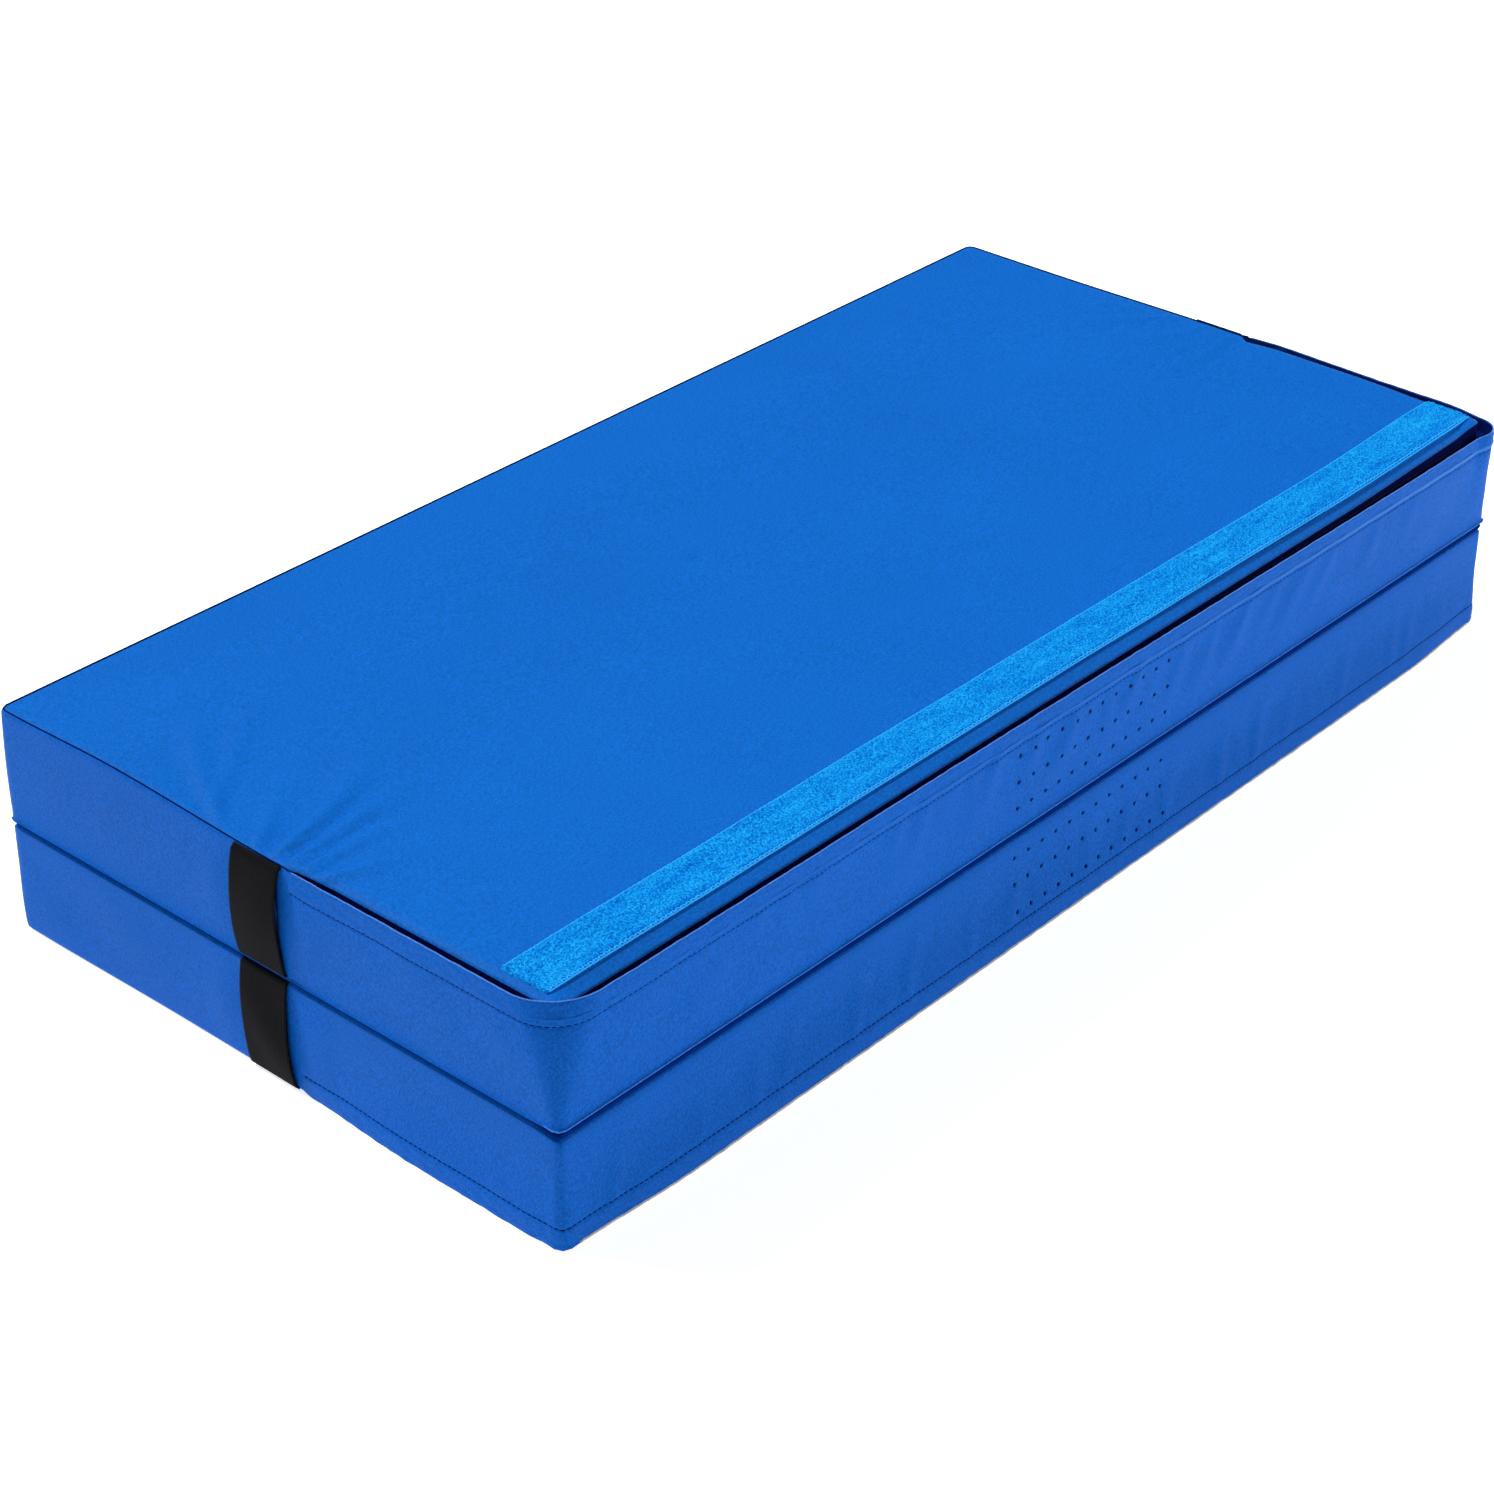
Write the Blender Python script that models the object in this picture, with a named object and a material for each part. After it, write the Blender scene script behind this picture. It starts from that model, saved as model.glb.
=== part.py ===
"""Folding gymnastics mat: two foam cushions in zipped covers, hinged along one long edge.

It stands folded, the upper cushion on the lower one. X runs along the mat, Y from the zipped
front edge (-Y) to the hinged back edge (+Y), and Z is up. The origin is the centre of the
face that rests on the floor. Lengths are in metres.

Both cushions are the same, mirrored about the fold. Each is drawn once in its own section
coordinates: "out" is the distance outwards from the nominal wall, and "up" is the height above
the cushion's inner face, so that up = CUSHION is the outer face.
"""

import math

import bmesh
import bpy
from mathutils import Matrix, Vector

# Driving dimensions
LENGTH = 1.200
DEPTH = 0.600
CUSHION = 0.0994
FOLD_GAP = 0.0006
CORNER_RADIUS = 0.030
FABRIC = 0.0010
FIT = 0.0003
CORNER_STEPS = 6

# The fold
FOLD_HEIGHT = CUSHION + FOLD_GAP / 2
HINGE_OUT = 0.0015
HINGE_TAPE_LENGTH = 1.140
HINGE_TAPE_HEIGHT = 0.028

# Foam cores
FOAM_INSET = 0.0036
FOAM_REBATE = 0.0176
FOAM_REBATE_DEPTH = 0.0182

# The zipped opening: a groove from one handle round the front to the other
WALL_JOINT_Y = -0.018
ZIP_START_Y = -0.032
GROOVE_START_Y = -0.028
GROOVE_FULL_Y = -0.038
HEM_HEIGHT = 0.018
HEM_DROP = 0.0015
RIM_START = 0.0170
RIM_END = 0.0102
RIM_DROP = 0.0065
SEAM_EASE = 0.0080

# The zip in the groove
CHAIN_OUT = -0.0075
CHAIN_WIDTH = 0.0054
CHAIN_HEIGHT = 0.0024
CHAIN_UP = CUSHION - 0.0160
TAPE = 0.0006
TAPE_WALL_OUT = -0.0026
TAPE_WALL_FOOT = CUSHION - 0.0280
TAPE_PANEL_OUT = -0.0125
TAPE_PANEL_TOP = CUSHION - 0.0062
STOP_LENGTH = 0.0032
SLIDER_LENGTH = 0.0120
SLIDER_WIDTH = 0.0082
SLIDER_PLATE = 0.0012
SLIDER_Y = -0.0450
BAIL_LENGTH = 0.0060
BAIL_WIDTH = 0.0016
BAIL_HEIGHT = 0.0040
BAIL_BAR = 0.0011
PULL_WIDTH = 0.0044
PULL_LENGTH = 0.0240
PULL_THICKNESS = 0.0012
PULL_SLOT_WIDTH = 0.0030
PULL_SLOT_LENGTH = 0.0042
PULL_BAR = 0.0013

# Vents: punched holes in the middle of the front wall
VENT_COLUMNS = 12
VENT_PITCH = 0.0177
VENT_ROW_HEIGHTS = (0.0230, 0.0472, 0.0714)
VENT_RADIUS = 0.0018
VENT_SIDES = 8

# Handles of flat webbing, one on each end of each cushion
HANDLE_WIDTH = 0.050
HANDLE_THICKNESS = 0.0018
HANDLE_BULGE = 0.0085
HANDLE_END = 0.0025
HANDLE_STEPS = 14

# Loop strip of the hook-and-loop joint, along the front edge of the upper face
LOOP_LENGTH = 1.160
LOOP_WIDTH = 0.047
LOOP_THICKNESS = 0.0018
LOOP_CENTRE_Y = -0.2535

COLOURS = {
    "cover_fabric": ((0.012, 0.125, 0.560), 0.55, 0.0),
    "foam": ((0.045, 0.045, 0.050), 0.95, 0.0),
    "webbing": ((0.012, 0.013, 0.016), 0.80, 0.0),
    "loop_tape": ((0.010, 0.300, 0.850), 0.95, 0.0),
    "zip_tape": ((0.006, 0.006, 0.012), 0.85, 0.0),
    "zip_coil": ((0.010, 0.010, 0.014), 0.45, 0.0),
    "zip_metal": ((0.060, 0.060, 0.065), 0.35, 0.9),
}


def clear_scene():
    for obj in list(bpy.data.objects):
        bpy.data.objects.remove(obj)


def material(name):
    found = bpy.data.materials.get(name)
    if found:
        return found
    colour, roughness, metallic = COLOURS[name]
    made = bpy.data.materials.new(name)
    made.use_nodes = True
    shader = made.node_tree.nodes["Principled BSDF"]
    shader.inputs["Base Color"].default_value = (*colour, 1.0)
    shader.inputs["Roughness"].default_value = roughness
    shader.inputs["Metallic"].default_value = metallic
    made.diffuse_color = (*colour, 1.0)
    return made


# ---------------------------------------------------------------- plan of a cushion


class Station:
    """A place on the cushion's outline: where it is, which way is out, and how far the groove is cut."""

    def __init__(self, x, y, out_x, out_y):
        self.x, self.y = x, y
        self.out_x, self.out_y = out_x, out_y
        share = (GROOVE_START_Y - y) / (GROOVE_START_Y - GROOVE_FULL_Y)
        self.groove = min(1.0, max(0.0, share))

    def point(self, out, up):
        return Vector((self.x + self.out_x * out, self.y + self.out_y * out, up))


def corner(side_x, side_y, first_degrees):
    """The stations round one vertical corner, turning anticlockwise seen from above."""
    centre_x = side_x * (LENGTH / 2 - CORNER_RADIUS)
    centre_y = side_y * (DEPTH / 2 - CORNER_RADIUS)
    stations = []
    for step in range(CORNER_STEPS + 1):
        angle = math.radians(first_degrees + 90 * step / CORNER_STEPS)
        out_x, out_y = math.cos(angle), math.sin(angle)
        x = centre_x + CORNER_RADIUS * out_x
        y = centre_y + CORNER_RADIUS * out_y
        stations.append(Station(x, y, out_x, out_y))
    return stations


def side_run(side_x, heights_y):
    """Stations along one end of the cushion, at these places in Y."""
    return [Station(side_x * LENGTH / 2, y, side_x, 0) for y in heights_y]


def front_stations(start_y):
    """From start_y on the left end, round the front, to start_y on the right end."""
    places = [y for y in (start_y, GROOVE_START_Y, GROOVE_FULL_Y) if y <= start_y]
    left = side_run(-1, places)
    right = side_run(1, reversed(places))
    return left + corner(-1, -1, 180) + corner(1, -1, 270) + right


def rear_stations(start_y):
    """From start_y on the right end, round the back, to start_y on the left end."""
    right = side_run(1, [start_y])
    left = side_run(-1, [start_y])
    return right + corner(1, 1, 0) + corner(-1, 1, 90) + left


def whole_outline():
    return front_stations(WALL_JOINT_Y) + rear_stations(WALL_JOINT_Y + FIT)


# ---------------------------------------------------------------- mesh tools


def sweep(stations, section):
    """A solid with the section section(station), a list of (out, up), at every station."""
    shape = bmesh.new()
    rows = []
    for station in stations:
        rows.append([shape.verts.new(station.point(*corner_of)) for corner_of in section(station)])
    for near, far in zip(rows, rows[1:]):
        for index in range(len(near)):
            after = (index + 1) % len(near)
            shape.faces.new((near[index], near[after], far[after], far[index]))
    shape.faces.new(rows[0])
    shape.faces.new(rows[-1])
    return shape


def stack(rings):
    """A solid through closed rings of points, each ring joined to the next, with flat ends."""
    shape = bmesh.new()
    rows = [[shape.verts.new(point) for point in ring] for ring in rings]
    for lower, upper in zip(rows, rows[1:]):
        for index in range(len(lower)):
            after = (index + 1) % len(lower)
            shape.faces.new((lower[index], lower[after], upper[after], upper[index]))
    shape.faces.new(rows[0])
    shape.faces.new(rows[-1])
    return shape


def box(low, high):
    """A box between two opposite corners, as a bmesh."""
    shape = bmesh.new()
    bmesh.ops.create_cube(shape, size=1.0)
    low, high = Vector(low), Vector(high)
    for vertex in shape.verts:
        share = vertex.co + Vector((0.5, 0.5, 0.5))
        vertex.co = Vector(low[k] + share[k] * (high[k] - low[k]) for k in range(3))
    return shape


def object_from(name, shape, slot, origin=(0, 0, 0), parent=None):
    """The shape as a named object, with its origin at that point, hanging on that parent."""
    shape.normal_update()
    bmesh.ops.recalc_face_normals(shape, faces=shape.faces)
    mesh = bpy.data.meshes.new(name)
    shape.to_mesh(mesh)
    shape.free()
    mesh.materials.append(material(slot))
    mesh.shade_smooth()
    mesh.set_sharp_from_angle(angle=math.radians(35))
    obj = bpy.data.objects.new(name, mesh)
    bpy.context.scene.collection.objects.link(obj)
    hang(obj, origin, parent)
    return obj


def hang(obj, origin, parent):
    """Moves the origin without moving the shape, and parents the object."""
    origin = Vector(origin)
    if obj.data:
        obj.data.transform(Matrix.Translation(-origin))
    obj.location = origin
    if parent:
        obj.parent = parent
        obj.location = origin - parent_origin(parent)


def parent_origin(parent):
    """Where an empty is. Empties hang on empties and are never turned."""
    above = parent_origin(parent.parent) if parent.parent else Vector((0, 0, 0))
    return above + parent.location


def empty(name, origin, parent=None):
    made = bpy.data.objects.new(name, None)
    bpy.context.scene.collection.objects.link(made)
    hang(made, origin, parent)
    return made


class Cushion:
    """Places shapes drawn in section coordinates: side 1 is the upper cushion, -1 the lower."""

    def __init__(self, name, side, parent):
        self.name, self.side, self.parent = name, side, parent

    def height(self, up):
        return FOLD_HEIGHT + self.side * (FOLD_GAP / 2 + up)

    def add(self, part, shape, slot, origin=(0, 0, 0), parent=None):
        for vertex in shape.verts:
            vertex.co.z = self.height(vertex.co.z)
        return object_from(f"{self.name}_{part}", shape, slot, origin, parent or self.parent)


# ---------------------------------------------------------------- sub-parts of a cushion


def ring(inset, up, groove_inset=None, groove_up=None):
    """A closed ring inside the outline. In the groove it may lie further in and at another height."""
    points = []
    for station in whole_outline():
        cut = station.groove if groove_inset is not None else 0.0
        deep = inset + cut * ((groove_inset or 0) - inset)
        high = up + cut * ((up if groove_up is None else groove_up) - up)
        points.append(station.point(-deep, high))
    return points


def inner_panel():
    """The flat face that lies against the other cushion when the mat is folded."""
    inset = FABRIC + FIT
    return stack([ring(inset, 0), ring(inset, FABRIC)])


def outer_panel():
    """The face turned outwards. Along the zip its rim bends down into the groove."""
    edge = FABRIC + FIT
    flat_top = ring(SEAM_EASE, CUSHION, RIM_START, CUSHION)
    rim_top = ring(edge, CUSHION, RIM_END, CUSHION - RIM_DROP)
    rim_foot = ring(edge, CUSHION - FABRIC, RIM_END, CUSHION - RIM_DROP - FABRIC)
    flat_foot = ring(SEAM_EASE, CUSHION - FABRIC, RIM_START, CUSHION - FABRIC)
    return stack([flat_top, rim_top, rim_foot, flat_foot])


def foam_core():
    """The slab of foam, before its front edge is cut back for the zip."""
    low, high = FABRIC + FIT, CUSHION - FABRIC - 2 * FIT
    return stack([ring(FOAM_INSET, low), ring(FOAM_INSET, high)])


def foam_rebate():
    """What the zip takes out of the foam's edge."""
    foot, top = CUSHION - FOAM_REBATE_DEPTH, CUSHION + 0.002

    def section(station):
        return [(-FOAM_REBATE, foot), (0.002, foot), (0.002, top), (-FOAM_REBATE, top)]

    return sweep(front_stations(GROOVE_START_Y + 0.004), section)


def front_wall():
    """The wall round the front, with its top edge folded in to a hem that hides the zip."""

    def section(station):
        top = CUSHION - HEM_DROP * station.groove
        foot = CUSHION - HEM_HEIGHT
        hem = FABRIC + 0.0001 + 0.0009 * station.groove
        return [(-FABRIC, 0), (0, 0), (0, top), (-hem, top), (-hem, foot), (-FABRIC, foot - 0.0005)]

    return sweep(front_stations(WALL_JOINT_Y), section)


def rear_wall():
    """The wall round the back, sewn to both panels."""

    def section(station):
        return [(-FABRIC, 0), (0, 0), (0, CUSHION), (-FABRIC, CUSHION)]

    return sweep(rear_stations(WALL_JOINT_Y + FIT), section)


def vent_punches():
    """Cutters for the vents: rows of pins through the front wall."""
    shape = bmesh.new()
    for row_height in VENT_ROW_HEIGHTS:
        for column in range(VENT_COLUMNS):
            x = (column - (VENT_COLUMNS - 1) / 2) * VENT_PITCH
            across = Matrix.Translation((x, -DEPTH / 2, row_height)) @ Matrix.Rotation(math.pi / 2, 4, "X")
            bmesh.ops.create_cone(
                shape, cap_ends=True, segments=VENT_SIDES, radius1=VENT_RADIUS,
                radius2=VENT_RADIUS, depth=0.008, matrix=across,
            )
    return shape


def zip_chain():
    """The closed coil, round the front from one handle to the other."""
    half = CHAIN_WIDTH / 2
    edge = 0.0008

    def section(station):
        low, high = CHAIN_UP - CHAIN_HEIGHT / 2, CHAIN_UP + CHAIN_HEIGHT / 2
        return [
            (CHAIN_OUT - half, low + edge), (CHAIN_OUT - half + edge, low),
            (CHAIN_OUT + half - edge, low), (CHAIN_OUT + half, low + edge),
            (CHAIN_OUT + half, high - edge), (CHAIN_OUT + half - edge, high),
            (CHAIN_OUT - half + edge, high), (CHAIN_OUT - half, high - edge),
        ]

    return sweep(front_stations(ZIP_START_Y - STOP_LENGTH - FIT), section)


def zip_tape_wall():
    """The tape on the wall's side: up the inside of the hem, then across to the coil."""
    near = CHAIN_OUT + CHAIN_WIDTH / 2 + FIT
    low, high = CHAIN_UP - TAPE / 2, CHAIN_UP + TAPE / 2
    out, inside = TAPE_WALL_OUT + TAPE / 2, TAPE_WALL_OUT - TAPE / 2

    def section(station):
        upright = [(inside, low), (inside, TAPE_WALL_FOOT), (out, TAPE_WALL_FOOT), (out, high)]
        return upright + [(near, high), (near, low)]

    return sweep(front_stations(ZIP_START_Y), section)


def zip_tape_panel():
    """The tape on the panel's side: from the coil across, then up under the panel's rim."""
    near = CHAIN_OUT - CHAIN_WIDTH / 2 - FIT
    low, high = CHAIN_UP - TAPE / 2, CHAIN_UP + TAPE / 2
    out, inside = TAPE_PANEL_OUT + TAPE / 2, TAPE_PANEL_OUT - TAPE / 2

    def section(station):
        upright = [(out, high), (out, TAPE_PANEL_TOP), (inside, TAPE_PANEL_TOP), (inside, low)]
        return [(near, low), (near, high)] + upright

    return sweep(front_stations(GROOVE_FULL_Y), section)


def zip_stop(side_x):
    """The clip that ends the coil beside a handle."""
    half = CHAIN_WIDTH / 2 + 0.0002
    centre_x = side_x * (LENGTH / 2 + CHAIN_OUT)
    low = (centre_x - half, ZIP_START_Y - STOP_LENGTH, CHAIN_UP + TAPE / 2 + FIT)
    high = (centre_x + half, ZIP_START_Y, CHAIN_UP + CHAIN_HEIGHT / 2 + 0.0006)
    return box(low, high)


def slider_plate_top():
    return CHAIN_UP + CHAIN_HEIGHT / 2 + FIT + SLIDER_PLATE


def pull_axis_up():
    return slider_plate_top() + 0.0013


def slider_outline():
    """The slider's end view, an inverted channel over the coil, as (across, up) from its centre."""
    half = SLIDER_WIDTH / 2
    top = slider_plate_top()
    under = top - SLIDER_PLATE
    flange_foot = CHAIN_UP + TAPE / 2 + FIT
    flange = CHAIN_WIDTH / 2 + FIT
    return [(-half, flange_foot), (-flange, flange_foot), (-flange, under), (flange, under),
            (flange, flange_foot), (half, flange_foot), (half, top), (-half, top)]


def bail_outline():
    """The bail's side view, a staple, as (along, up) from the slider's centre."""
    half = BAIL_LENGTH / 2
    foot = slider_plate_top() - 0.0004
    top = slider_plate_top() + BAIL_HEIGHT
    under = top - BAIL_BAR
    return [(-half, foot), (-half + BAIL_BAR, foot), (-half + BAIL_BAR, under), (half - BAIL_BAR, under),
            (half - BAIL_BAR, foot), (half, foot), (half, top), (-half, top)]


def prism(outline, axis, half_length, centre):
    """A prism of an outline in (across, Z), with its length along X or Y."""
    shape = bmesh.new()
    rows = []
    for end in (-half_length, half_length):
        if axis == "Y":
            rows.append([shape.verts.new((centre[0] + a, centre[1] + end, up)) for a, up in outline])
        else:
            rows.append([shape.verts.new((centre[0] + end, centre[1] + a, up)) for a, up in outline])
    for index in range(len(outline)):
        after = (index + 1) % len(outline)
        shape.faces.new((rows[0][index], rows[0][after], rows[1][after], rows[1][index]))
    shape.faces.new(rows[0])
    shape.faces.new(rows[1])
    return shape


def slider_centre():
    return (LENGTH / 2 + CHAIN_OUT, SLIDER_Y)


def zip_pull():
    """The pull tab, lying along the zip, slotted so that its end bar turns inside the bail."""
    centre_x, centre_y = slider_centre()
    half = PULL_WIDTH / 2
    up = pull_axis_up()
    low, high = up - PULL_THICKNESS / 2, up + PULL_THICKNESS / 2
    slot = PULL_SLOT_WIDTH / 2
    bar = PULL_BAR / 2
    start = centre_y + bar
    slot_end = centre_y - bar - PULL_SLOT_LENGTH
    tip = centre_y - PULL_LENGTH
    tip_half = half * 0.7
    outer = [(-half, start), (half, start), (half, slot_end - 0.004), (tip_half, tip), (-tip_half, tip),
             (-half, slot_end - 0.004)]
    inner = [(-slot, start - PULL_BAR), (slot, start - PULL_BAR), (slot, slot_end), (-slot, slot_end)]
    shape = bmesh.new()
    for height in (low, high):
        loops = []
        for outline in (outer, inner):
            points = [shape.verts.new((centre_x + a, y, height)) for a, y in outline]
            loops.append([shape.edges.new((p, q)) for p, q in zip(points, points[1:] + points[:1])])
        bmesh.ops.triangle_fill(shape, use_beauty=True, edges=loops[0] + loops[1])
    shape.verts.ensure_lookup_table()
    per_level = len(outer) + len(inner)
    for first, count in ((0, len(outer)), (len(outer), len(inner))):
        for index in range(count):
            here, there = first + index, first + (index + 1) % count
            corners = (here, there, there + per_level, here + per_level)
            shape.faces.new([shape.verts[k] for k in corners])
    return shape


def handle(side_x):
    """A webbing handle: its ends are sewn in at the seams, and it stands off the wall between them."""
    inner, outer = [], []
    for step in range(HANDLE_STEPS + 1):
        share = step / HANDLE_STEPS
        up = HANDLE_END + share * (CUSHION - 2 * HANDLE_END)
        out = FIT + HANDLE_BULGE * math.sin(math.pi * share)
        inner.append((side_x * (LENGTH / 2 + out), up))
        outer.append((side_x * (LENGTH / 2 + out + HANDLE_THICKNESS), up))
    return prism(inner + outer[::-1], "Y", HANDLE_WIDTH / 2, (0, 0))


def hinge_tape():
    """Half of the fabric strip that joins the cushions, on this cushion's back wall."""
    low = (-HINGE_TAPE_LENGTH / 2, DEPTH / 2 + FIT, FIT)
    high = (HINGE_TAPE_LENGTH / 2, DEPTH / 2 + FIT + FABRIC, HINGE_TAPE_HEIGHT)
    return box(low, high)


# ---------------------------------------------------------------- assembly


def cut(target, cutter):
    """Takes the cutter, which isn't part of the object, out of the target."""
    cutter.hide_render = True
    cutter.display_type = "WIRE"
    made = target.modifiers.new("Cut", "BOOLEAN")
    made.operation = "DIFFERENCE"
    made.solver = "EXACT"
    made.object = cutter


def join_to(target, addition):
    """Adds a helper shape to the target."""
    addition.hide_render = True
    addition.display_type = "WIRE"
    made = target.modifiers.new("Join", "BOOLEAN")
    made.operation = "UNION"
    made.solver = "EXACT"
    made.object = addition


def add_zip_slider(cushion):
    """The slider and its pull, parked at the right-hand end of the zip."""
    centre_x, centre_y = slider_centre()
    place = (centre_x, centre_y, cushion.height(CHAIN_UP))
    rail = empty(f"{cushion.name}_slider_axis", place, cushion.parent)
    body = prism(slider_outline(), "Y", SLIDER_LENGTH / 2, slider_centre())
    slider = cushion.add("zip_slider", body, "zip_metal", place, rail)
    staple = prism(bail_outline(), "X", BAIL_WIDTH / 2, slider_centre())
    join_to(slider, cushion.add("bail_shape", staple, "zip_metal", place, rail))
    pivot_at = (centre_x, centre_y, cushion.height(pull_axis_up()))
    pivot = empty(f"{cushion.name}_pull_axis", pivot_at, rail)
    cushion.add("zip_pull", zip_pull(), "zip_metal", pivot_at, pivot)


def add_cushion(name, side, parent):
    cushion = Cushion(name, side, parent)
    foam = cushion.add("foam_core", foam_core(), "foam")
    cut(foam, cushion.add("foam_rebate", foam_rebate(), "foam"))
    cushion.add("inner_panel", inner_panel(), "cover_fabric")
    cushion.add("outer_panel", outer_panel(), "cover_fabric")
    front = cushion.add("front_wall", front_wall(), "cover_fabric")
    cut(front, cushion.add("vent_punches", vent_punches(), "cover_fabric"))
    cushion.add("rear_wall", rear_wall(), "cover_fabric")
    cushion.add("zip_chain", zip_chain(), "zip_coil")
    cushion.add("zip_tape_wall", zip_tape_wall(), "zip_tape")
    cushion.add("zip_tape_panel", zip_tape_panel(), "zip_tape")
    for side_x, word in ((-1, "left"), (1, "right")):
        cushion.add(f"zip_stop_{word}", zip_stop(side_x), "zip_metal")
        cushion.add(f"handle_{word}", handle(side_x), "webbing")
    cushion.add("hinge_tape", hinge_tape(), "cover_fabric")
    add_zip_slider(cushion)
    return cushion


def add_loop_strip(cushion):
    """The soft half of the hook-and-loop joint, on the upper cushion's outer face."""
    low = (-LOOP_LENGTH / 2, LOOP_CENTRE_Y - LOOP_WIDTH / 2, CUSHION + FIT)
    high = (LOOP_LENGTH / 2, LOOP_CENTRE_Y + LOOP_WIDTH / 2, CUSHION + LOOP_THICKNESS)
    cushion.add("loop_strip", box(low, high), "loop_tape")


def main():
    clear_scene()
    add_cushion("lower", -1, None)
    fold_axis = empty("fold_axis", (0, DEPTH / 2 + HINGE_OUT, FOLD_HEIGHT))
    upper = add_cushion("upper", 1, fold_axis)
    add_loop_strip(upper)


main()
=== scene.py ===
import math

import bmesh
import bpy
import numpy as np
from mathutils import Matrix, Vector


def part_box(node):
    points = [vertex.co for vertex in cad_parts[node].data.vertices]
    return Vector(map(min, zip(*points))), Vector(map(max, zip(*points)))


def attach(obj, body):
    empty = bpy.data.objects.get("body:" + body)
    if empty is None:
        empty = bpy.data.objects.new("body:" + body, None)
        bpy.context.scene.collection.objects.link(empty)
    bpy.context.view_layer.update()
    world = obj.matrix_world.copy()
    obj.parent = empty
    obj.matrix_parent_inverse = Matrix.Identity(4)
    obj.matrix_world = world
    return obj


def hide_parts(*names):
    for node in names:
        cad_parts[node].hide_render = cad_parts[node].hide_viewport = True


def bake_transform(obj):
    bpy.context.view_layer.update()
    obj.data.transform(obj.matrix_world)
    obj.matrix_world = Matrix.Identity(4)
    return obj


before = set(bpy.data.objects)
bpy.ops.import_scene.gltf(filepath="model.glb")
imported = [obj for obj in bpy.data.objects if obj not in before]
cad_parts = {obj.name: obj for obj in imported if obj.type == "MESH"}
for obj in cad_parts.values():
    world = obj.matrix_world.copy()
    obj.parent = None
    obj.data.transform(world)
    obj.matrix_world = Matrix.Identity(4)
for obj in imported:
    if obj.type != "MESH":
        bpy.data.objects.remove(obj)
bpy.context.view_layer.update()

# ---- sizes read from the frame

HALF_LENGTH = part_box("upper_front_wall")[1].x
HALF_DEPTH = -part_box("upper_front_wall")[0].y
FOLD_HEIGHT = (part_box("upper_inner_panel")[0].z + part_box("lower_inner_panel")[1].z) / 2
FOLD_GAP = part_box("upper_inner_panel")[0].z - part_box("lower_inner_panel")[1].z
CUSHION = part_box("upper_rear_wall")[1].z - FOLD_HEIGHT - FOLD_GAP / 2
WALL_JOINT_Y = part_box("upper_front_wall")[1].y
CHAIN_LOW, CHAIN_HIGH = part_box("upper_zip_chain")
CHAIN_HALF_WIDTH = 0.0027
CHAIN_OUT = -(CHAIN_LOW.y + HALF_DEPTH) - CHAIN_HALF_WIDTH
CHAIN_UP = (CHAIN_LOW.z + CHAIN_HIGH.z) / 2 - FOLD_HEIGHT - FOLD_GAP / 2
ZIP_START_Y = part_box("upper_zip_chain")[1].y
LOOP_LOW, LOOP_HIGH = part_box("upper_loop_strip")
HINGE_LOW, HINGE_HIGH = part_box("upper_hinge_tape")

# ---- sizes that the frame doesn't hold, in metres

FABRIC = 0.0010
CORNER_ZONE = 0.062
FOLD_CORNER = 0.0045
SEAM_CORNER = 0.0085
RIM_REACH = 0.0260
HEM_STITCH = 0.0180
WALL_SEAM_ROUND = 0.0050
CROWN = 0.0016
VENT_RADIUS = 0.0017
VENT_STEP = 0.0177
VENT_MIDDLE = 0.0050
VENT_COLUMNS = 12
VENT_HEIGHTS = (0.0230, 0.0472, 0.0714)
# A sewing is the step of its stitches, their length and their thickness.
HEM_SEWING = (0.0050, 0.0034, 0.0010)
SEAM_SEWING = (0.0032, 0.0029, 0.0008)
HINGE_SEWING = (0.0034, 0.0027, 0.0008)
SEAM_THREAD = 0.0007
TOOTH_SIZE = (0.0056, 0.0013, 0.0023)
TOOTH_STEP = 0.0016


# ---- number tools


def smooth(value):
    """0 below zero and 1 above one, with a soft rise between."""
    value = np.clip(value, 0.0, 1.0)
    return value * value * (3 - 2 * value)


def ramp(value, softness):
    """0 below zero and value above it, with a soft bend between."""
    return (value + np.sqrt(value * value + softness * softness)) / 2


def mix(first, second, share):
    return first + (second - first) * share


def xyz(x, y, z):
    """Points from their three coordinates, arrays or numbers."""
    return np.stack(np.broadcast_arrays(x, y, z), axis=-1)


def turns(count):
    """Angles round a full turn."""
    return np.linspace(0, 2 * math.pi, count, endpoint=False)


def sides_of(values):
    """-1 where a value is below zero, 1 elsewhere."""
    return np.where(values < 0, -1.0, 1.0)


def ripple(x, y, wavelength, seed, waves=14):
    """Smooth, aimless relief of about unit height."""
    random = np.random.default_rng(seed)
    total = np.zeros(np.broadcast(x, y).shape)
    for _ in range(waves):
        angle = random.uniform(0, 2 * math.pi)
        wave = wavelength * random.uniform(0.6, 1.8)
        phase = random.uniform(0, 2 * math.pi)
        across = x * math.cos(angle) + y * math.sin(angle)
        total += np.sin(2 * math.pi * across / wave + phase)
    return total / math.sqrt(waves)


def along_curve(points, count):
    """Points spaced along a smooth curve through three points."""
    start, middle, end = (np.array(point, float) for point in points)
    handle = 2 * middle - (start + end) / 2
    t = np.linspace(0, 1, count)[:, None]
    return (1 - t) ** 2 * start + 2 * t * (1 - t) * handle + t ** 2 * end


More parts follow.
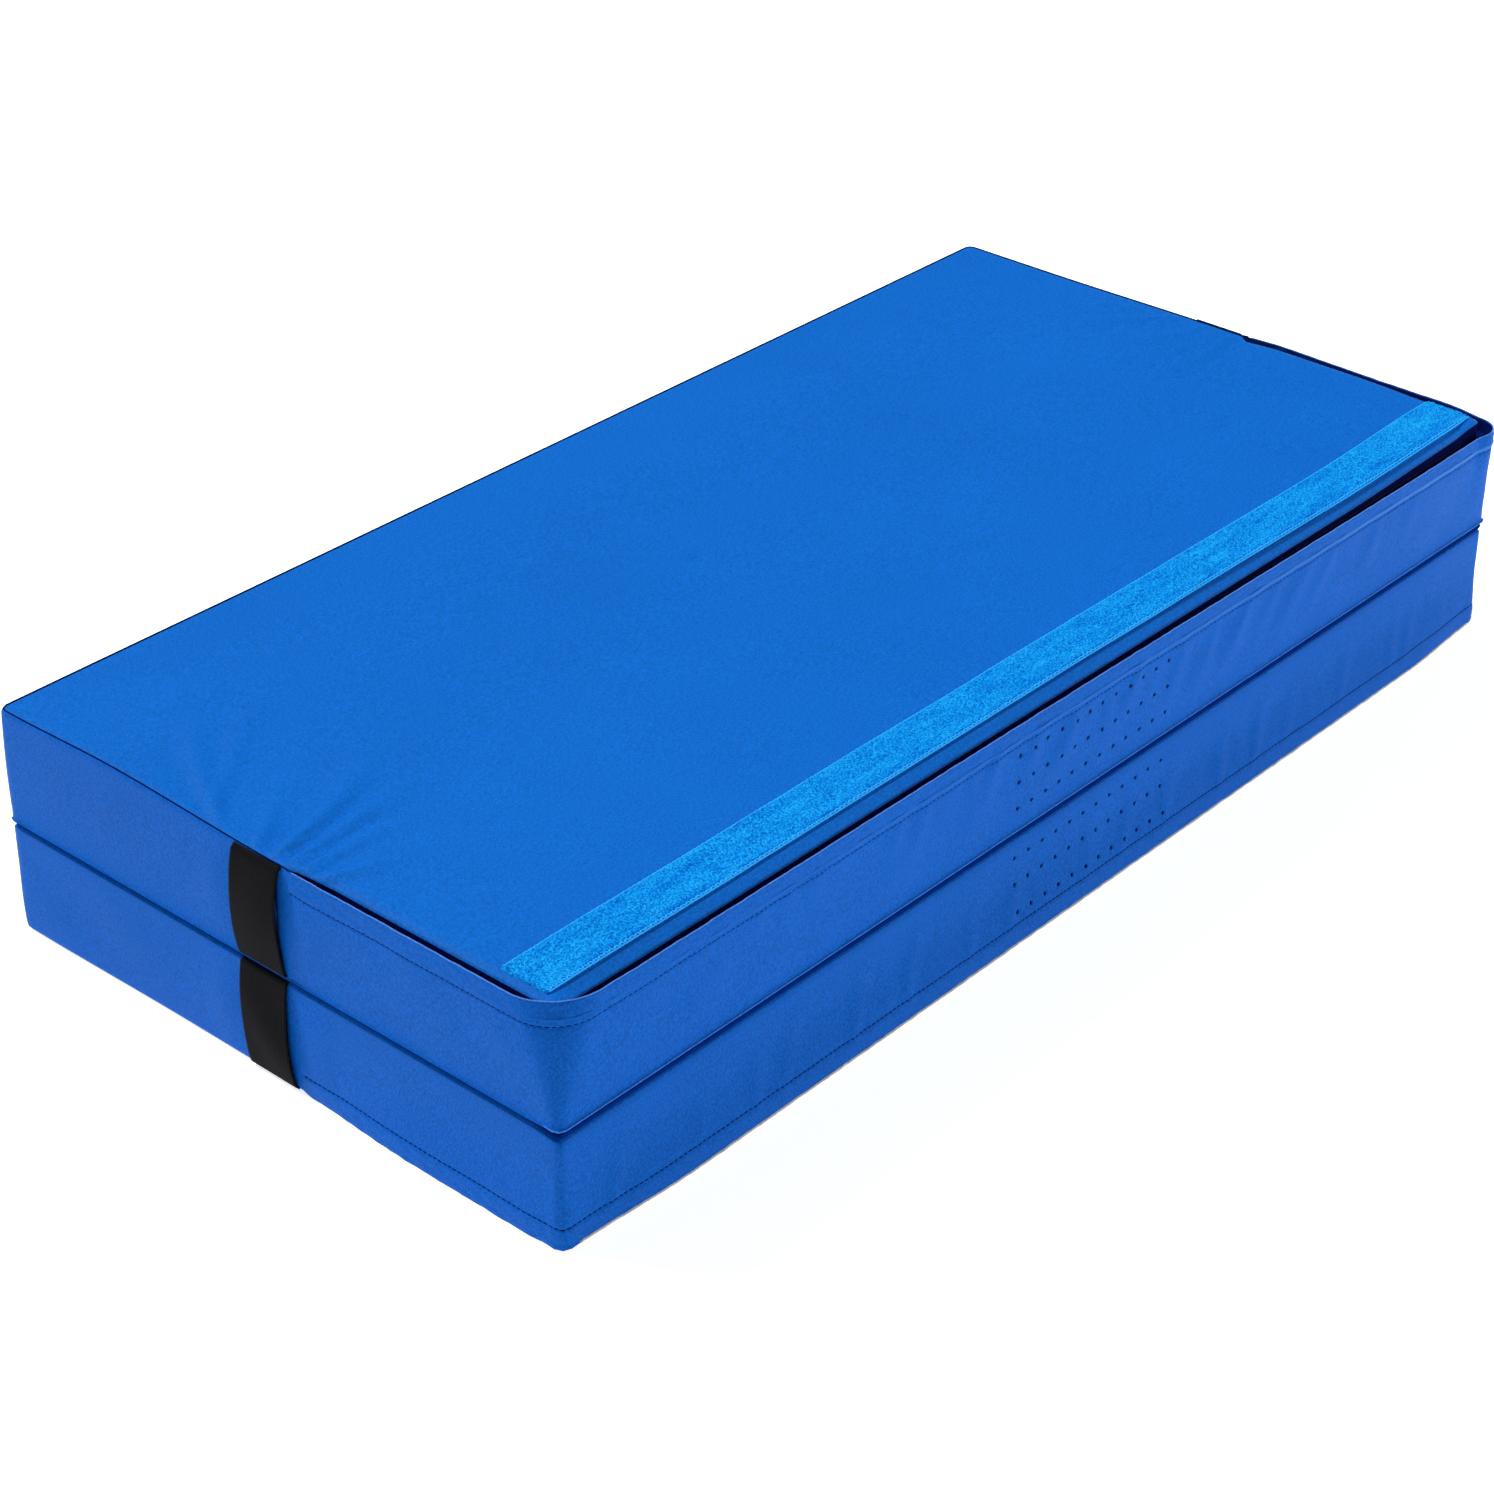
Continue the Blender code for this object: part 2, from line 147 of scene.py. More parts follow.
def crease(x, y, points, width, height, start_share=0.16):
    """One soft fold: a ridge along a curve with a shallow valley each side, fading at both ends."""
    distance, place = np.full(x.shape, 1e9), np.zeros(x.shape)
    for index, (curve_x, curve_y) in enumerate(along_curve(points, 33)):
        here = np.hypot(x - curve_x, y - curve_y)
        place = np.where(here < distance, index / 32, place)
        distance = np.minimum(here, distance)
    fade = smooth(place / start_share + 0.25) * smooth((1 - place) / (1 - start_share))
    spread = width * (0.45 + 0.9 * place)
    share = distance / spread
    return height * fade * (np.exp(-share ** 2) - 0.4 * np.exp(-(share / 2.2) ** 2))


# ---- plan of a cushion


class Plan:
    """Places on the cushion's nominal rectangle: how far in each is, and where from its nearest corner."""

    def __init__(self, x, y):
        self.x, self.y = x, y
        left_x, left_y = HALF_LENGTH - np.abs(x), HALF_DEPTH - np.abs(y)
        self.on_end = left_x < left_y
        self.depth, self.along = np.minimum(left_x, left_y), np.maximum(left_x, left_y)
        self.side_x, self.side_y = sides_of(x), sides_of(y)

    def rounded(self, inset, radius, along=None):
        """The places moved in by inset, on a line with corners of that radius, and the way out from them.

        along is how far each place is from the corner, along its side.
        """
        along = self.along if along is None else along
        zone = np.maximum(CORNER_ZONE - inset, 1e-5)
        radius = np.clip(radius - inset, 1e-5, zone)
        share = np.clip(1 - along / CORNER_ZONE, 0, 1)
        run = share * (zone - radius + radius * math.pi / 4)
        angle = np.clip((run - (zone - radius)) / radius, 0, math.pi / 4)
        forward = np.minimum(run, zone - radius) + radius * np.sin(angle)
        inward = radius * (1 - np.cos(angle))
        beyond = np.maximum(along - CORNER_ZONE, 0)
        long_side = HALF_LENGTH - CORNER_ZONE - beyond + forward
        short_side = HALF_DEPTH - CORNER_ZONE - beyond + forward
        x = np.where(self.on_end, HALF_LENGTH - inset - inward, long_side) * self.side_x
        y = np.where(self.on_end, short_side, HALF_DEPTH - inset - inward) * self.side_y
        out_x = np.where(self.on_end, np.cos(angle), np.sin(angle)) * self.side_x
        out_y = np.where(self.on_end, np.sin(angle), np.cos(angle)) * self.side_y
        return x, y, out_x, out_y


class Outline(Plan):
    """Stations round the edge of the cushion's nominal rectangle."""

    def __init__(self, points):
        super().__init__(*np.array(points, float).T[:2])
        self.zip = zip_share(self.x, self.y)
        self.rim = rim_shape(self.x, self.y)[0]
        self.rim_drop = rim_height(self.x, self.y, self.rim)
        steps = np.hypot(np.diff(self.x), np.diff(self.y))
        self.run = np.concatenate([[0], np.cumsum(steps)])

    def place(self, out, up, radius):
        """Points at a distance out from the outline, and at a height above the inner face."""
        x, y, out_x, out_y = self.rounded(-np.minimum(out, 0), radius)
        beyond = np.maximum(out, 0)
        return xyz(x + out_x * beyond, y + out_y * beyond, up)

    def outward(self):
        """The direction straight out from the cushion at each station."""
        _, _, out_x, out_y = self.rounded(0.0, 0.03)
        return xyz(out_x, out_y, 0.0)


def zip_share(x, y):
    """1 where the edge is zipped, 0 where it is sewn, and between them beside the handles."""
    return smooth((-0.0275 - y) / 0.0100)


def rim_shape(x, y):
    """Section of a panel's edge: its inset, where it starts to slope, how steeply and how softly.

    Behind the handles it is sewn close to the wall. The zip's groove is widest along the front.
    """
    zipped = zip_share(x, y)
    opened = np.where(x < 0, smooth((-0.018 - y) / 0.060), smooth((-0.028 - y) / 0.012))
    front = smooth((0.5985 - np.abs(x)) / 0.030) * smooth((-0.26 - y) / 0.03)
    right = smooth((x - 0.55) / 0.04)
    inset = mix(0.0016, mix(0.0050, mix(0.0098, 0.0122, front), opened), zipped)
    slope_start = mix(0.0050, mix(0.0090, mix(mix(0.0150, 0.0110, right), 0.0235, front), opened), zipped)
    slope = mix(0.32, mix(0.32, mix(0.56, 0.36, right), opened), zipped)
    softness = mix(0.0015, 0.0035, opened)
    return inset, slope_start, slope, softness


def rim_height(x, y, inset):
    """How far below the flat of the panel its surface is, at a distance in from the outline."""
    _, slope_start, slope, softness = rim_shape(x, y)
    return slope * ramp(slope_start - inset, softness)


def outline_round(side_y, step, start_y):
    """Stations about every step round the front (side -1) or the back (side 1), from end to end."""
    x, y = side_y * HALF_LENGTH, side_y * HALF_DEPTH
    corners = np.array([(x, start_y), (x, y), (-x, y), (-x, start_y)])
    places = []
    for start, end in zip(corners, corners[1:]):
        count = max(2, int(round(np.linalg.norm(end - start) / step)))
        places += [start + (end - start) * index / count for index in range(count)]
    return Outline(places + [corners[-1]])


# ---- mesh tools


def link(obj):
    """Puts an object in the scene."""
    bpy.context.scene.collection.objects.link(obj)
    return obj


def mesh_object(name, shape, material):
    """An object from a shape, its points and its faces of one size, with its normals turned outwards."""
    mesh = bpy.data.meshes.new(name)
    vertices, faces = np.asarray(shape[0], np.float32).reshape(-1, 3), np.asarray(shape[1], np.int32)
    mesh.vertices.add(len(vertices))
    mesh.vertices.foreach_set("co", vertices.ravel())
    mesh.loops.add(faces.size)
    mesh.loops.foreach_set("vertex_index", faces.ravel())
    mesh.polygons.add(len(faces))
    mesh.polygons.foreach_set("loop_start", np.arange(len(faces), dtype=np.int32) * faces.shape[1])
    mesh.update(calc_edges=True)
    edited = bmesh.new()
    edited.from_mesh(mesh)
    bmesh.ops.recalc_face_normals(edited, faces=edited.faces)
    edited.to_mesh(mesh)
    edited.free()
    mesh.shade_smooth()
    mesh.materials.append(material)
    return link(bpy.data.objects.new(name, mesh))


def grid_faces(rows, columns, first=0, wrap=False):
    """Quads over a grid of points that is stored row by row."""
    across = columns if wrap else columns - 1
    row, column = np.meshgrid(np.arange(rows - 1), np.arange(across), indexing="ij")
    after = (column + 1) % columns
    low, high = row * columns, (row + 1) * columns
    return np.stack([low + column, low + after, high + after, high + column], axis=-1).reshape(-1, 4) + first


def grid_normals(points):
    """The direction square to a grid of points, at each of them."""
    normals = np.cross(np.gradient(points, axis=0), np.gradient(points, axis=1))
    return normals / np.maximum(np.linalg.norm(normals, axis=-1, keepdims=True), 1e-12)


def closed_sheet(name, outer, inner, material):
    """A closed sheet: two grids of points of one size, and a rim between their edges."""
    rows, columns = outer.shape[:2]
    count = rows * columns
    top, left = np.arange(columns), np.arange(rows) * columns
    border = np.concatenate([top, left[1:] + columns - 1, (left[-1] + top)[::-1][1:], left[::-1][1:-1]])
    after = np.roll(border, -1)
    rim = np.stack([border, after, after + count, border + count], axis=-1)
    faces = np.concatenate([grid_faces(rows, columns), grid_faces(rows, columns, count), rim])
    return mesh_object(name, (np.stack([outer, inner]), faces), material)


def sheet_shell(name, points, thickness, material, inward):
    """A closed sheet of cloth: the grid, and a copy of it at that thickness inward."""
    normals = grid_normals(points)
    if np.mean(np.sum(normals * inward, axis=-1)) < 0:
        normals = -normals
    return closed_sheet(name, points, points + normals * thickness, material)


def tube_grid(sections):
    """The shape of closed rings of points, each joined to the next, with both ends filled."""
    rings, around = sections.shape[:2]
    quads = grid_faces(rings, around, wrap=True)
    faces = [quads[:, [0, 1, 2]], quads[:, [0, 2, 3]]]
    for ring, centre in ((0, rings * around), (rings - 1, rings * around + 1)):
        index = ring * around + np.arange(around)
        faces.append(xyz(index, np.roll(index, -1), centre))
    centres = sections[[0, -1]].mean(axis=1)
    return np.concatenate([sections.reshape(-1, 3), centres]), np.concatenate(faces)


def upright(path):
    """Straight up, at each point of a path."""
    return np.tile([0.0, 0.0, 1.0], (len(path), 1))


def bead(name, path, outward, width, height, sides, material):
    """A cord along a path: width and height are its half sizes, outward and up, numbers or one per point."""
    turn = turns(sides)
    across = np.cos(turn)[None, :, None] * np.reshape(width, (-1, 1, 1))
    up = np.sin(turn)[None, :, None] * np.reshape(height, (-1, 1, 1))
    rings = path[:, None, :] + outward[:, None, :] * across + upright(path)[:, None, :] * up
    return mesh_object(name, tube_grid(rings), material)


def repeat_shape(shape, centres, axes):
    """Copies of one small shape, at each centre, turned to its own three axes."""
    vertices, faces = shape
    turned = np.einsum("vk,nkc->nvc", vertices, axes) + centres[:, None, :]
    shift = np.arange(len(centres))[:, None, None] * len(vertices)
    return turned.reshape(-1, 3), (faces[None] + shift).reshape(-1, faces.shape[1])


def lozenge(length, width, height, sides=6):
    """A small rounded bar along X: the shape of one stitch."""
    turn = turns(sides)
    rings = []
    for share, size in ((-0.5, 0.35), (-0.32, 0.9), (0.0, 1.0), (0.32, 0.9), (0.5, 0.35)):
        sideways, up = np.cos(turn) * width / 2 * size, np.sin(turn) * height / 2 * size
        rings.append(xyz(share * length, sideways, up))
    return tube_grid(np.array(rings))


def at_marks(marks, lengths, values):
    """Each column of values, read at marks along a path whose points lie at those lengths."""
    return np.stack([np.interp(marks, lengths, values[:, k]) for k in range(3)], axis=-1)


def resample(path, step):
    """Points every step along a path, with the direction of the path at each."""
    lengths = np.concatenate([[0], np.cumsum(np.linalg.norm(np.diff(path, axis=0), axis=1))])
    marks = np.arange(step / 2, lengths[-1], step)
    direction = at_marks(marks + step / 4, lengths, path) - at_marks(marks - step / 4, lengths, path)
    direction = direction / np.linalg.norm(direction, axis=1, keepdims=True)
    return at_marks(marks, lengths, path), direction, marks, lengths


def stitches(name, path, normals, step, length, thickness, material, lean=0.0):
    """A row of stitches lying on the cloth along a path, each turned by lean from the path's direction."""
    points, direction, marks, lengths = resample(path, step)
    up = at_marks(marks, lengths, normals)
    up = up - direction * np.sum(up * direction, axis=1, keepdims=True)
    up = up / np.linalg.norm(up, axis=1, keepdims=True)
    side = np.cross(up, direction)
    turn = lean * np.where(np.arange(len(points)) % 2, 1.0, -1.0)[:, None]
    ahead = direction * np.cos(turn) + side * np.sin(turn)
    axes = np.stack([ahead, np.cross(up, ahead), up], axis=1)
    stitch = lozenge(length, thickness, thickness * 0.8)
    return mesh_object(name, repeat_shape(stitch, points + up * thickness * 0.1, axes), material)


# ---- materials


class Look:
    """A procedural material while its nodes are put together."""

    def __init__(self, name, roughness, metallic=0.0, specular=0.5):
        self.made = bpy.data.materials.new(name)
        self.made.use_nodes = True
        self.tree = self.made.node_tree
        self.shader = self.tree.nodes["Principled BSDF"]
        self.shader.inputs["Roughness"].default_value = roughness
        self.shader.inputs["Metallic"].default_value = metallic
        self.shader.inputs["Specular IOR Level"].default_value = specular
        self.place = self.node("ShaderNodeTexCoord", {}).outputs["Object"]

    def node(self, kind, inputs, **settings):
        """A new node. Each input takes a number, a vector or another node's output."""
        node = self.tree.nodes.new(kind)
        for key, value in settings.items():
            setattr(node, key, value)
        for key, value in inputs.items():
            if isinstance(value, bpy.types.NodeSocket):
                self.tree.links.new(value, node.inputs[key])
            else:
                node.inputs[key].default_value = value
        return node

    def noise(self, scale, detail=2.0, roughness=0.5, vector=None):
        inputs = {"Vector": vector or self.place, "Scale": scale, "Detail": detail, "Roughness": roughness}
        return self.node("ShaderNodeTexNoise", inputs).outputs["Fac"]

    def wave(self, direction, scale):
        inputs = {"Vector": self.place, "Scale": scale}
        return self.node("ShaderNodeTexWave", inputs, bands_direction=direction).outputs["Fac"]

    def math(self, operation, first, second):
        return self.node("ShaderNodeMath", {0: first, 1: second}, operation=operation).outputs["Value"]

    def shares(self, first, first_share, second, second_share):
        """Two values added, each times its share."""
        first = self.math("MULTIPLY", first, first_share)
        return self.math("ADD", first, self.math("MULTIPLY", second, second_share))

    def paint(self, value, stops):
        """Base colour that runs through the stops as the value rises."""
        node = self.node("ShaderNodeValToRGB", {"Fac": value})
        elements = node.color_ramp.elements
        while len(elements) < len(stops):
            elements.new(0.5)
        for element, (position, colour) in zip(elements, stops):
            element.position = position
            element.color = (*colour, 1.0)
        self.tree.links.new(node.outputs["Color"], self.shader.inputs["Base Color"])

    def bump(self, height, distance, strength=1.0, before=None):
        inputs = {"Height": height, "Distance": distance, "Strength": strength}
        if before is not None:
            inputs["Normal"] = before
        normal = self.node("ShaderNodeBump", inputs).outputs["Normal"]
        self.tree.links.new(normal, self.shader.inputs["Normal"])
        return normal


def scaled(colour, factor):
    return tuple(channel * factor for channel in colour)


def cover_fabric(name, blue, specular):
    """Matte coated cloth: fine leathery grain and slow changes of tone."""
    look = Look(name, 0.50, specular=specular)
    speckle = look.noise(520.0, 2.0, 0.6)
    tone = look.shares(look.noise(5.0, 3.0), 0.12, speckle, 0.88)
    look.paint(tone, [(0.28, scaled(blue, 0.70)), (0.72, scaled(blue, 1.30))])
    grain = look.bump(look.noise(1300.0, 3.0, 0.65), 0.00030, 0.9)
    look.bump(speckle, 0.00050, 0.7, before=grain)
    return look.made


def foam_material_painted_shade():
    """Foam coloured charcoal as painted shade, so that the vents through the cover look dark: small open
    cells.
    """
    look = Look("foam", 0.95, specular=0.2)
    cells = look.node("ShaderNodeTexVoronoi", {"Vector": look.place, "Scale": 700.0}).outputs["Distance"]
    look.paint(cells, [(0.0, (0.006, 0.006, 0.007)), (0.6, (0.020, 0.020, 0.022))])
    look.bump(cells, 0.0006)
    return look.made


def webbing_material():
    """Black woven webbing: ribs along its length, crossed by the weft."""
    look = Look("webbing", 0.70, specular=0.045)
    weave = look.math("MULTIPLY", look.wave("Y", 95.0), look.wave("Z", 190.0))
    height = look.math("ADD", weave, look.math("MULTIPLY", look.noise(1800.0), 0.35))
    look.paint(height, [(0.0, (0.0030, 0.0032, 0.0046)), (1.0, (0.0062, 0.0065, 0.0084))])
    look.bump(height, 0.00012)
    return look.made


def loop_material(name, dark, middle, bright):
    """Brushed loop pile: bright, soft and speckled, with faint slanting streaks where the pile leans."""
    look = Look(name, 0.9, specular=0.02)
    slant = {"Vector": look.place, "Rotation": (0.0, 0.0, math.radians(62)), "Scale": (0.22, 1.0, 1.0)}
    streaks = look.noise(95.0, vector=look.node("ShaderNodeMapping", slant).outputs["Vector"])
    pile = look.noise(600.0, 2.0, 0.6)
    look.paint(look.shares(streaks, 0.22, pile, 0.78), [(0.38, dark), (0.50, middle), (0.61, bright)])
    look.bump(pile, 0.0014)
    return look.made


def tape_material():
    """Navy zip tape: a close twill."""
    look = Look("zip_tape", 0.8, specular=0.02)
    twill = look.wave("DIAGONAL", 260.0)
    look.paint(twill, [(0.0, (0.0008, 0.0050, 0.062)), (1.0, (0.0014, 0.0085, 0.110))])
    look.bump(twill, 0.0002)
    return look.made


def plain_material(name, colour, roughness, metallic, specular, scale, spread):
    """A material of one colour that varies a little, with a fine surface."""
    look = Look(name, roughness, metallic, specular)
    tone = look.noise(scale, 3.0)
    look.paint(tone, [(0.25, scaled(colour, 1 - spread)), (0.75, scaled(colour, 1 + spread))])
    look.bump(tone, 0.00008)
    return look.made


# Colour, roughness, metallic, specular, scale of the noise and spread of the tone.
PLAIN_LOOKS = {
    "zip_coil": ((0.006, 0.006, 0.009), 0.42, 0.0, 0.3, 800.0, 0.25),
    "zip_metal": ((0.05, 0.05, 0.055), 0.34, 0.9, 0.5, 300.0, 0.25),
    "thread": ((0.0004, 0.0110, 0.085), 0.8, 0.0, 0.0, 2500.0, 0.25),
    # Dark cord in the gap at the fold: painted shadow.
    "fold_piping": ((0.0006, 0.020, 0.160), 0.8, 0.0, 0.0, 900.0, 0.25),
    "loop_thread": ((0.040, 0.48, 1.00), 0.8, 0.0, 0.0, 2500.0, 0.1),
    # Light cord on the upper hem's folded edge: painted highlight.
    "hem_edge_highlight": ((0.075, 0.220, 0.690), 0.5, 0.0, 0.03, 400.0, 0.25),
    # Pale grey cord on the lower hem's folded edge: painted highlight.
    "lower_hem_highlight": ((0.50, 0.51, 0.53), 0.8, 0.0, 0.08, 400.0, 0.25),
    # Light cord on the crest of the upper lip at the fold: painted highlight.
    "fold_crest_highlight": ((0.030, 0.200, 0.700), 0.5, 0.0, 0.03, 400.0, 0.25),
}


def hem_ridge_highlight_material():
    """The raised fold of the hem, with a painted highlight that grows paler towards the right end."""
    look = Look("hem_ridge_highlight", 0.55, specular=0.05)
    position = look.node("ShaderNodeSeparateXYZ", {"Vector": look.place}).outputs["X"]
    along = look.math("ADD", look.math("MULTIPLY", position, 0.75), 0.40)
    tone = look.math("ADD", along, look.math("MULTIPLY", look.noise(160.0, 3.0), 0.20))
    # Painted highlight: paler towards the right end, where more light falls.
    painted_highlight = (0.0430, 0.186, 0.600)
    look.paint(tone, [(0.15, (0.0030, 0.100, 0.470)), (0.50, (0.0110, 0.118, 0.505)), (0.98, painted_highlight)])
    look.bump(look.noise(520.0, 2.0, 0.6), 0.00050, 0.7)
    return look.made


def pale_material(name, glow, low, high):
    """A plain pale surface that shines from within."""
    look = Look(name, 0.9, specular=0.0)
    look.shader.inputs["Emission Color"].default_value = (1.0, 1.0, 1.0, 1.0)
    look.shader.inputs["Emission Strength"].default_value = glow
    look.paint(look.noise(2.0), [(0.2, (low, low, low)), (0.8, (high, high, high))])
    return look.made


# ---- cloth simulation


SETTLING_STEPS = 20
CLOTH = {"vertex_group_mass": "held", "quality": 7, "mass": 0.25, "tension_stiffness": 25,
         "compression_stiffness": 25, "shear_stiffness": 12, "bending_stiffness": 0.35, "use_pressure": True}


def settle(length, width, cell, growth, shear, pressure, pinned_rows, seed, wave):
    """Lets a slack sheet of cloth buckle between its sewn edges, and returns how far it stands off flat.

    Its far edge is shifted sideways by shear, its cloth is larger than the frame by growth, and its edges are
    held. The result is a grid of heights with a row for each cell across the width.
    """
    columns, rows = int(round(length / cell)) + 1, int(round(width / cell)) + 1
    x, y = np.meshgrid(np.linspace(0, length, columns), np.linspace(0, width, rows))
    start = 0.0005 * ripple(x, y, wave, seed) * np.sin(np.clip(y / width, 0, 1) * math.pi)
    flat = xyz(x + shear * y / width, y, start).reshape(-1, 3)
    mesh = bpy.data.meshes.new("settling")
    mesh.from_pydata(flat.tolist(), [], grid_faces(rows, columns)[:, ::-1].tolist())
    sheet = link(bpy.data.objects.new("settling", mesh))
    sheet.shape_key_add(name="Basis")
    cut_size = sheet.shape_key_add(name="Cut")
    larger = xyz(x * (1 + growth), y * (1 + growth), start)
    cut_size.data.foreach_set("co", larger.astype(np.float32).ravel())
    index = np.arange(rows * columns).reshape(rows, columns)
    edges = [index[0], index[-pinned_rows:].ravel(), index[:, 0], index[:, -1]]
    held = np.unique(np.concatenate(edges))
    sheet.vertex_groups.new(name="held").add(held.tolist(), 1.0, "REPLACE")
    cloth = sheet.modifiers.new("Cloth", "CLOTH")
    for setting, value in CLOTH.items():
        setattr(cloth.settings, setting, value)
    cloth.settings.rest_shape_key = cut_size
    cloth.settings.uniform_pressure_force = pressure
    cloth.settings.effector_weights.gravity = 0
    cloth.collision_settings.use_collision = False
    for step in range(1, SETTLING_STEPS + 1):
        bpy.context.scene.frame_set(step)
    settled = sheet.evaluated_get(bpy.context.evaluated_depsgraph_get())
    points = np.empty(rows * columns * 3, np.float32)
    settled.data.vertices.foreach_get("co", points)
    bpy.context.scene.frame_set(1)
    bpy.data.objects.remove(sheet)
    return points.reshape(rows, columns, 3)[..., 2].astype(float)


def sample(grid, along, across):
    """Heights between the points of a grid, for places given as shares of its length and width."""
    rows, columns = grid.shape
    column = np.clip(along, 0, 1) * (columns - 1)
    row = np.clip(across, 0, 1) * (rows - 1)
    left, low = np.minimum(column.astype(int), columns - 2), np.minimum(row.astype(int), rows - 2)
    right_share, high_share = smooth(column - left), smooth(row - low)
    lower = mix(grid[low, left], grid[low, left + 1], right_share)
    upper = mix(grid[low + 1, left], grid[low + 1, left + 1], right_share)
    return mix(lower, upper, high_share)


def limited(height, most_in, most_out):
    """Keeps cloth from sinking into the foam or standing too far off it, without a sudden stop."""
    return np.where(height < 0, -most_in * np.tanh(-height / most_in), most_out * np.tanh(height / most_out))


# ---- shapes of a cushion


LIP_UPPER = ((0, -0.0068), (0.0004, -0.0040), (0.0009, -0.0022), (0.0016, -0.0006), (0.0023, 0.0007),
             (0.0029, 0.0017), (0.0033, 0.0019), (0.0037, 0.0016), (0.0044, 0.0008), (0.0056, 0.0004),
             (0.0090, 0.0002), (0.0140, 0))
LIP_LOWER = ((0, -0.0070), (0.0012, -0.0068), (0.0030, -0.0062), (0.0048, -0.0050), (0.0060, -0.0030),
             (0.0068, -0.0010), (0.0076, -0.0002), (0.0140, 0))


def fold_size(outline):
    """Size of the rolled lip at the fold: full along the front, half along the ends and the back."""
    return mix(0.5, 1.0, smooth((-outline.y - HALF_DEPTH + 0.030) / 0.030))


class Cushion:
    """One cushion of the mat: side 1 is the upper one, -1 the lower one, mirrored about the fold."""

    def __init__(self, name, side):
        self.name, self.side = name, side
        upper = side > 0
        self.lip = np.array(LIP_UPPER if upper else LIP_LOWER)
        self.hem_corners = (0.046, 0.015) if upper else (0.0045, 0.010)
        self.rim_corners = (0.020, 0.016) if upper else (0.012, 0.012)
        front_run = 2 * (HALF_LENGTH + HALF_DEPTH + WALL_JOINT_Y)
        rear_run = 2 * (HALF_LENGTH + HALF_DEPTH - WALL_JOINT_Y)
        shear = 0.0050 if upper else -0.0030
        length, depth = 2 * HALF_LENGTH, 2 * HALF_DEPTH
        self.panel_slack = settle(length, depth, cell=0.0120, growth=0.0010, shear=0.0, pressure=0.6,
                                  pinned_rows=1, seed=3 + side, wave=0.20)
        self.front_slack = settle(front_run, CUSHION, cell=0.0062, growth=0.0060, shear=shear, pressure=0.5,
                                  pinned_rows=3, seed=5 + side, wave=0.07)
        self.rear_slack = settle(rear_run, CUSHION, cell=0.0075, growth=0.0030, shear=0.0020, pressure=0.5,
                                 pinned_rows=1, seed=7 + side, wave=0.10)

    def corner_radius(self, corners, x, y):
        """Radius of the corners at a place: left front, right front or, behind the handles, sewn."""
        return mix(SEAM_CORNER, np.where(x < 0, *corners), smooth(-y / 0.05))

    def rise(self, x, y):
        """How far the outer face is stuffed above its nominal height, at the back and at the right end."""
        if self.side < 0:
            return 0 * x
        back = 0.0028 * smooth((y + 0.04) / 0.24)
        left = 0.0032 * smooth((y + 0.02) / 0.18) * smooth((-x - 0.30) / 0.28)
        left = left * (1 - 0.9 * smooth((y - 0.16) / 0.13))
        right = 0.0045 * smooth((x - 0.38) / 0.20) * smooth((0.20 - y) / 0.22)
        zip_start = smooth((-y - 0.028) / 0.05) * (1 - smooth((-y - 0.16) / 0.10))
        return back + left + right + 0.0026 * smooth((x - 0.50) / 0.09) * zip_start

    def hem_top(self, x, y):
        """Height of the hem's top edge: lower along the front, and higher at the right end."""
        if self.side < 0:
            return CUSHION - 0.0008 + 0 * x
        front = smooth((x + 0.2) / 0.8) * smooth((-y - 0.25) / 0.04) * (1 - 0.6 * smooth((x - 0.57) / 0.03))
        right = smooth((x - 0.57) / 0.02) * smooth((-y - 0.012) / 0.02) * smooth((y + 0.30) / 0.05)
        start = 1 - smooth((-y - 0.03) / 0.16)
        return CUSHION - 0.0006 - 0.0046 * front + (0.0016 + 0.0018 * start) * right

    def splay(self, x, y):
        """How far the hem leans out from the wall below it."""
        along_front = smooth((-y - 0.27) / 0.02)
        off_corner = smooth((HALF_LENGTH - np.abs(x) - 0.006) / 0.120)
        right = smooth((x - 0.57) / 0.02) * smooth((-y - 0.012) / 0.07)
        if self.side > 0:
            return 0.0010 * along_front * off_corner + 0.0046 * right * (1 - along_front * off_corner)
        left = smooth((-x - 0.57) / 0.02) * (smooth((-y - 0.03) / 0.12) + 0.4 * smooth((y - 0.10) / 0.18))
        on_ends = 0.0050 * left + 0.0020 * right
        return mix(on_ends, mix(0.0036, 0.0095, off_corner), along_front)

    def world(self, points):
        """Turns heights above the cushion's inner face into heights above the floor."""
        placed = np.array(points, float)
        placed[..., 2] = FOLD_HEIGHT + self.side * (FOLD_GAP / 2 + placed[..., 2])
        return placed

    def keep(self, obj, slot, node=None):
        """Fixes a piece to the cushion and hides the CAD node that it stands for; its material slot is not
        used.
        """
        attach(obj, f"{self.name}_cushion")
        if node:
            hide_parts(f"{self.name}_{node}")

    def cover(self, word, points, thickness, material, inward, node, slot="cover_fabric"):
        """A sheet of the cushion's cover that stands for a node. Heights are above the inner face."""
        obj = sheet_shell(f"{self.name}_{word}", self.world(points), thickness, material, inward)
        self.keep(obj, slot, node)
        return obj

    def line(self, word, path, outward, width, height, sides, material):
        """A cord or a fold of the cover, along a path."""
        self.keep(bead(f"{self.name}_{word}", path, outward, width, height, sides, material), "cover_fabric")

    def sew(self, word, path, normals, sewing, thread, slot="cover_fabric", lean=0.0):
        """A row of stitches: sewing is their step, length and thickness."""
        self.keep(stitches(f"{self.name}_{word}", path, normals, *sewing, thread, lean), slot)


EDGE_STEPS = np.array([0.0, 0.0005, 0.0011, 0.0019, 0.0028, 0.0039, 0.0052, 0.0067, 0.0084, 0.0103, 0.0124,
                       0.0148, 0.0175, 0.0205, 0.0235, 0.0270, 0.0310, 0.0355, 0.0405, 0.0460])


